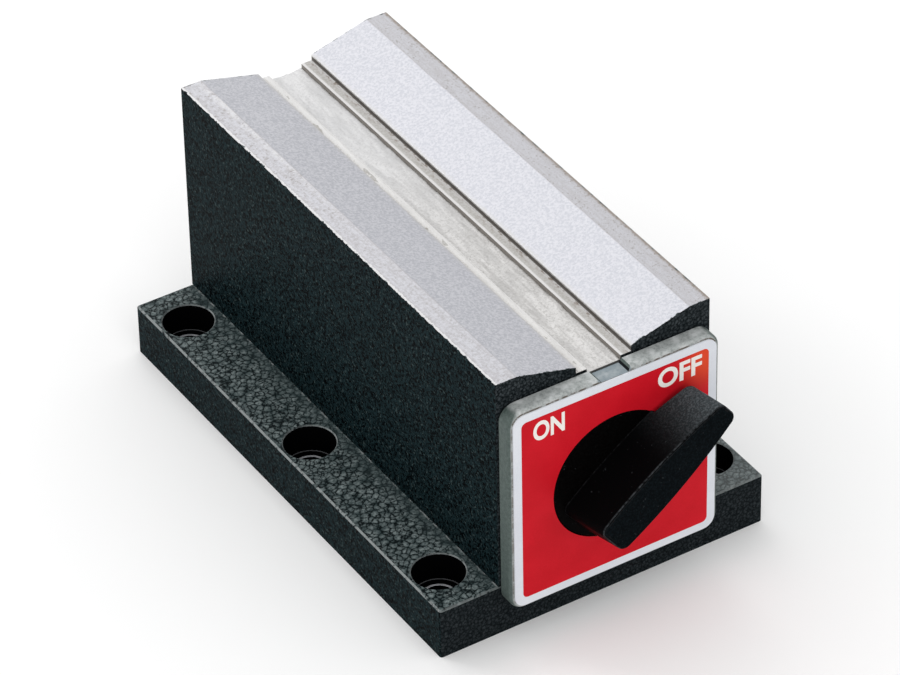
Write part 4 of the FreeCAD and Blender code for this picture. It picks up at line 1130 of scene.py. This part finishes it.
@dataclass
class Studio:
    """Pale floor, soft light and the photograph's camera."""

    camera_place: Vector = field(default_factory=lambda: Vector((-0.46836, -0.76266, 0.71332)))
    azimuth: float = -31.665
    elevation: float = 37.556
    roll: float = -1.286
    lens: float = 219.66
    floor_half: float = 3.0
    sky: float = 0.9

    def build(self) -> None:
        """Makes the floor, the lamps, the world and the camera."""
        self.lay_floor()
        self.light()
        self.aim()

    def lay_floor(self) -> None:
        """A wide white floor under the block, which keeps its soft shadow."""
        sheet = bmesh.new()
        bmesh.ops.create_grid(sheet, x_segments=1, y_segments=1, size=self.floor_half)
        data = bpy.data.meshes.new("floor")
        sheet.to_mesh(data)
        sheet.free()
        floor = bpy.data.objects.new("floor", data)
        bpy.context.scene.collection.objects.link(floor)
        shader = Shader("floor_white")
        shader.set(Base_Color=(0.98, 0.98, 0.98), Roughness=0.9, Specular_IOR_Level=0.05)
        dress(floor, shader.material)

    def light(self) -> None:
        """A pale world and four soft lamps: the ground steel mirrors those behind it."""
        world = bpy.data.worlds.new("studio")
        world.use_nodes = True
        background = world.node_tree.nodes["Background"]
        background.inputs["Color"].default_value = (1.0, 1.0, 1.0, 1.0)
        background.inputs["Strength"].default_value = self.sky
        bpy.context.scene.world = world
        self.lamp("overhead", (-0.05, 0.80, 0.92), (1.0, 0.8), 0.85)
        self.lamp("right_behind", (0.72, 0.78, 0.50), (0.7, 0.7), 0.1)
        self.lamp("front", (-0.3, -1.1, 0.9), (0.9, 0.9), 1.1)
        self.lamp("rim", (-0.58, 0.81, 0.67), (0.25, 0.25), 6.0)

    def lamp(self, name: str, place: Sequence[float], size: Pair, glow: float) -> None:
        """Adds a rectangular soft lamp that points at the block.

        Args:
            name: The lamp's name.
            place: Where it stands.
            size: Its width and height.
            glow: How bright it looks, where 1 is white.
        """
        data = bpy.data.lights.new(name, "AREA")
        data.shape = "RECTANGLE"
        data.size, data.size_y = size
        data.energy = glow * math.pi * size[0] * size[1]
        lamp = bpy.data.objects.new(name, data)
        spot = Vector(place)
        lamp.location = spot
        lamp.rotation_mode = "QUATERNION"
        lamp.rotation_quaternion = (Vector((0, 0, 0.03)) - spot).to_track_quat("-Z", "Y")
        bpy.context.scene.collection.objects.link(lamp)

    def aim(self) -> None:
        """Sets up the camera at the photograph's viewing angle."""
        data = bpy.data.cameras.new("camera")
        data.sensor_width = 36.0
        data.lens = self.lens
        data.clip_start, data.clip_end = 0.05, 20.0
        angles = (self.azimuth, self.elevation, self.roll)
        azimuth, elevation, roll = (math.radians(angle) for angle in angles)
        flat = math.cos(elevation)
        back = Vector((math.sin(azimuth) * flat, -math.cos(azimuth) * flat, math.sin(elevation)))
        level = Vector((math.cos(azimuth), math.sin(azimuth), 0.0))
        right = level * math.cos(roll) + back.cross(level) * math.sin(roll)
        up = back.cross(right)
        camera = bpy.data.objects.new("camera", data)
        facing = Matrix((right, up, back)).transposed().to_4x4()
        camera.matrix_world = Matrix.Translation(self.camera_place) @ facing
        bpy.context.scene.collection.objects.link(camera)
        bpy.context.scene.camera = camera


def main() -> None:
    """Builds the dressed part and its studio."""
    logging.basicConfig(level=logging.INFO, format="%(name)s: %(message)s")
    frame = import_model()
    scene = bpy.context.scene
    scene.view_settings.view_transform = "Standard"
    for part in (Base(), PoleBlock(), Dial(), Knob(), Rotor()):
        part.build(frame["nodes"])
        log.info("built %s", type(part).__name__)
    Studio().build()


if __name__ == "__main__":
    main()
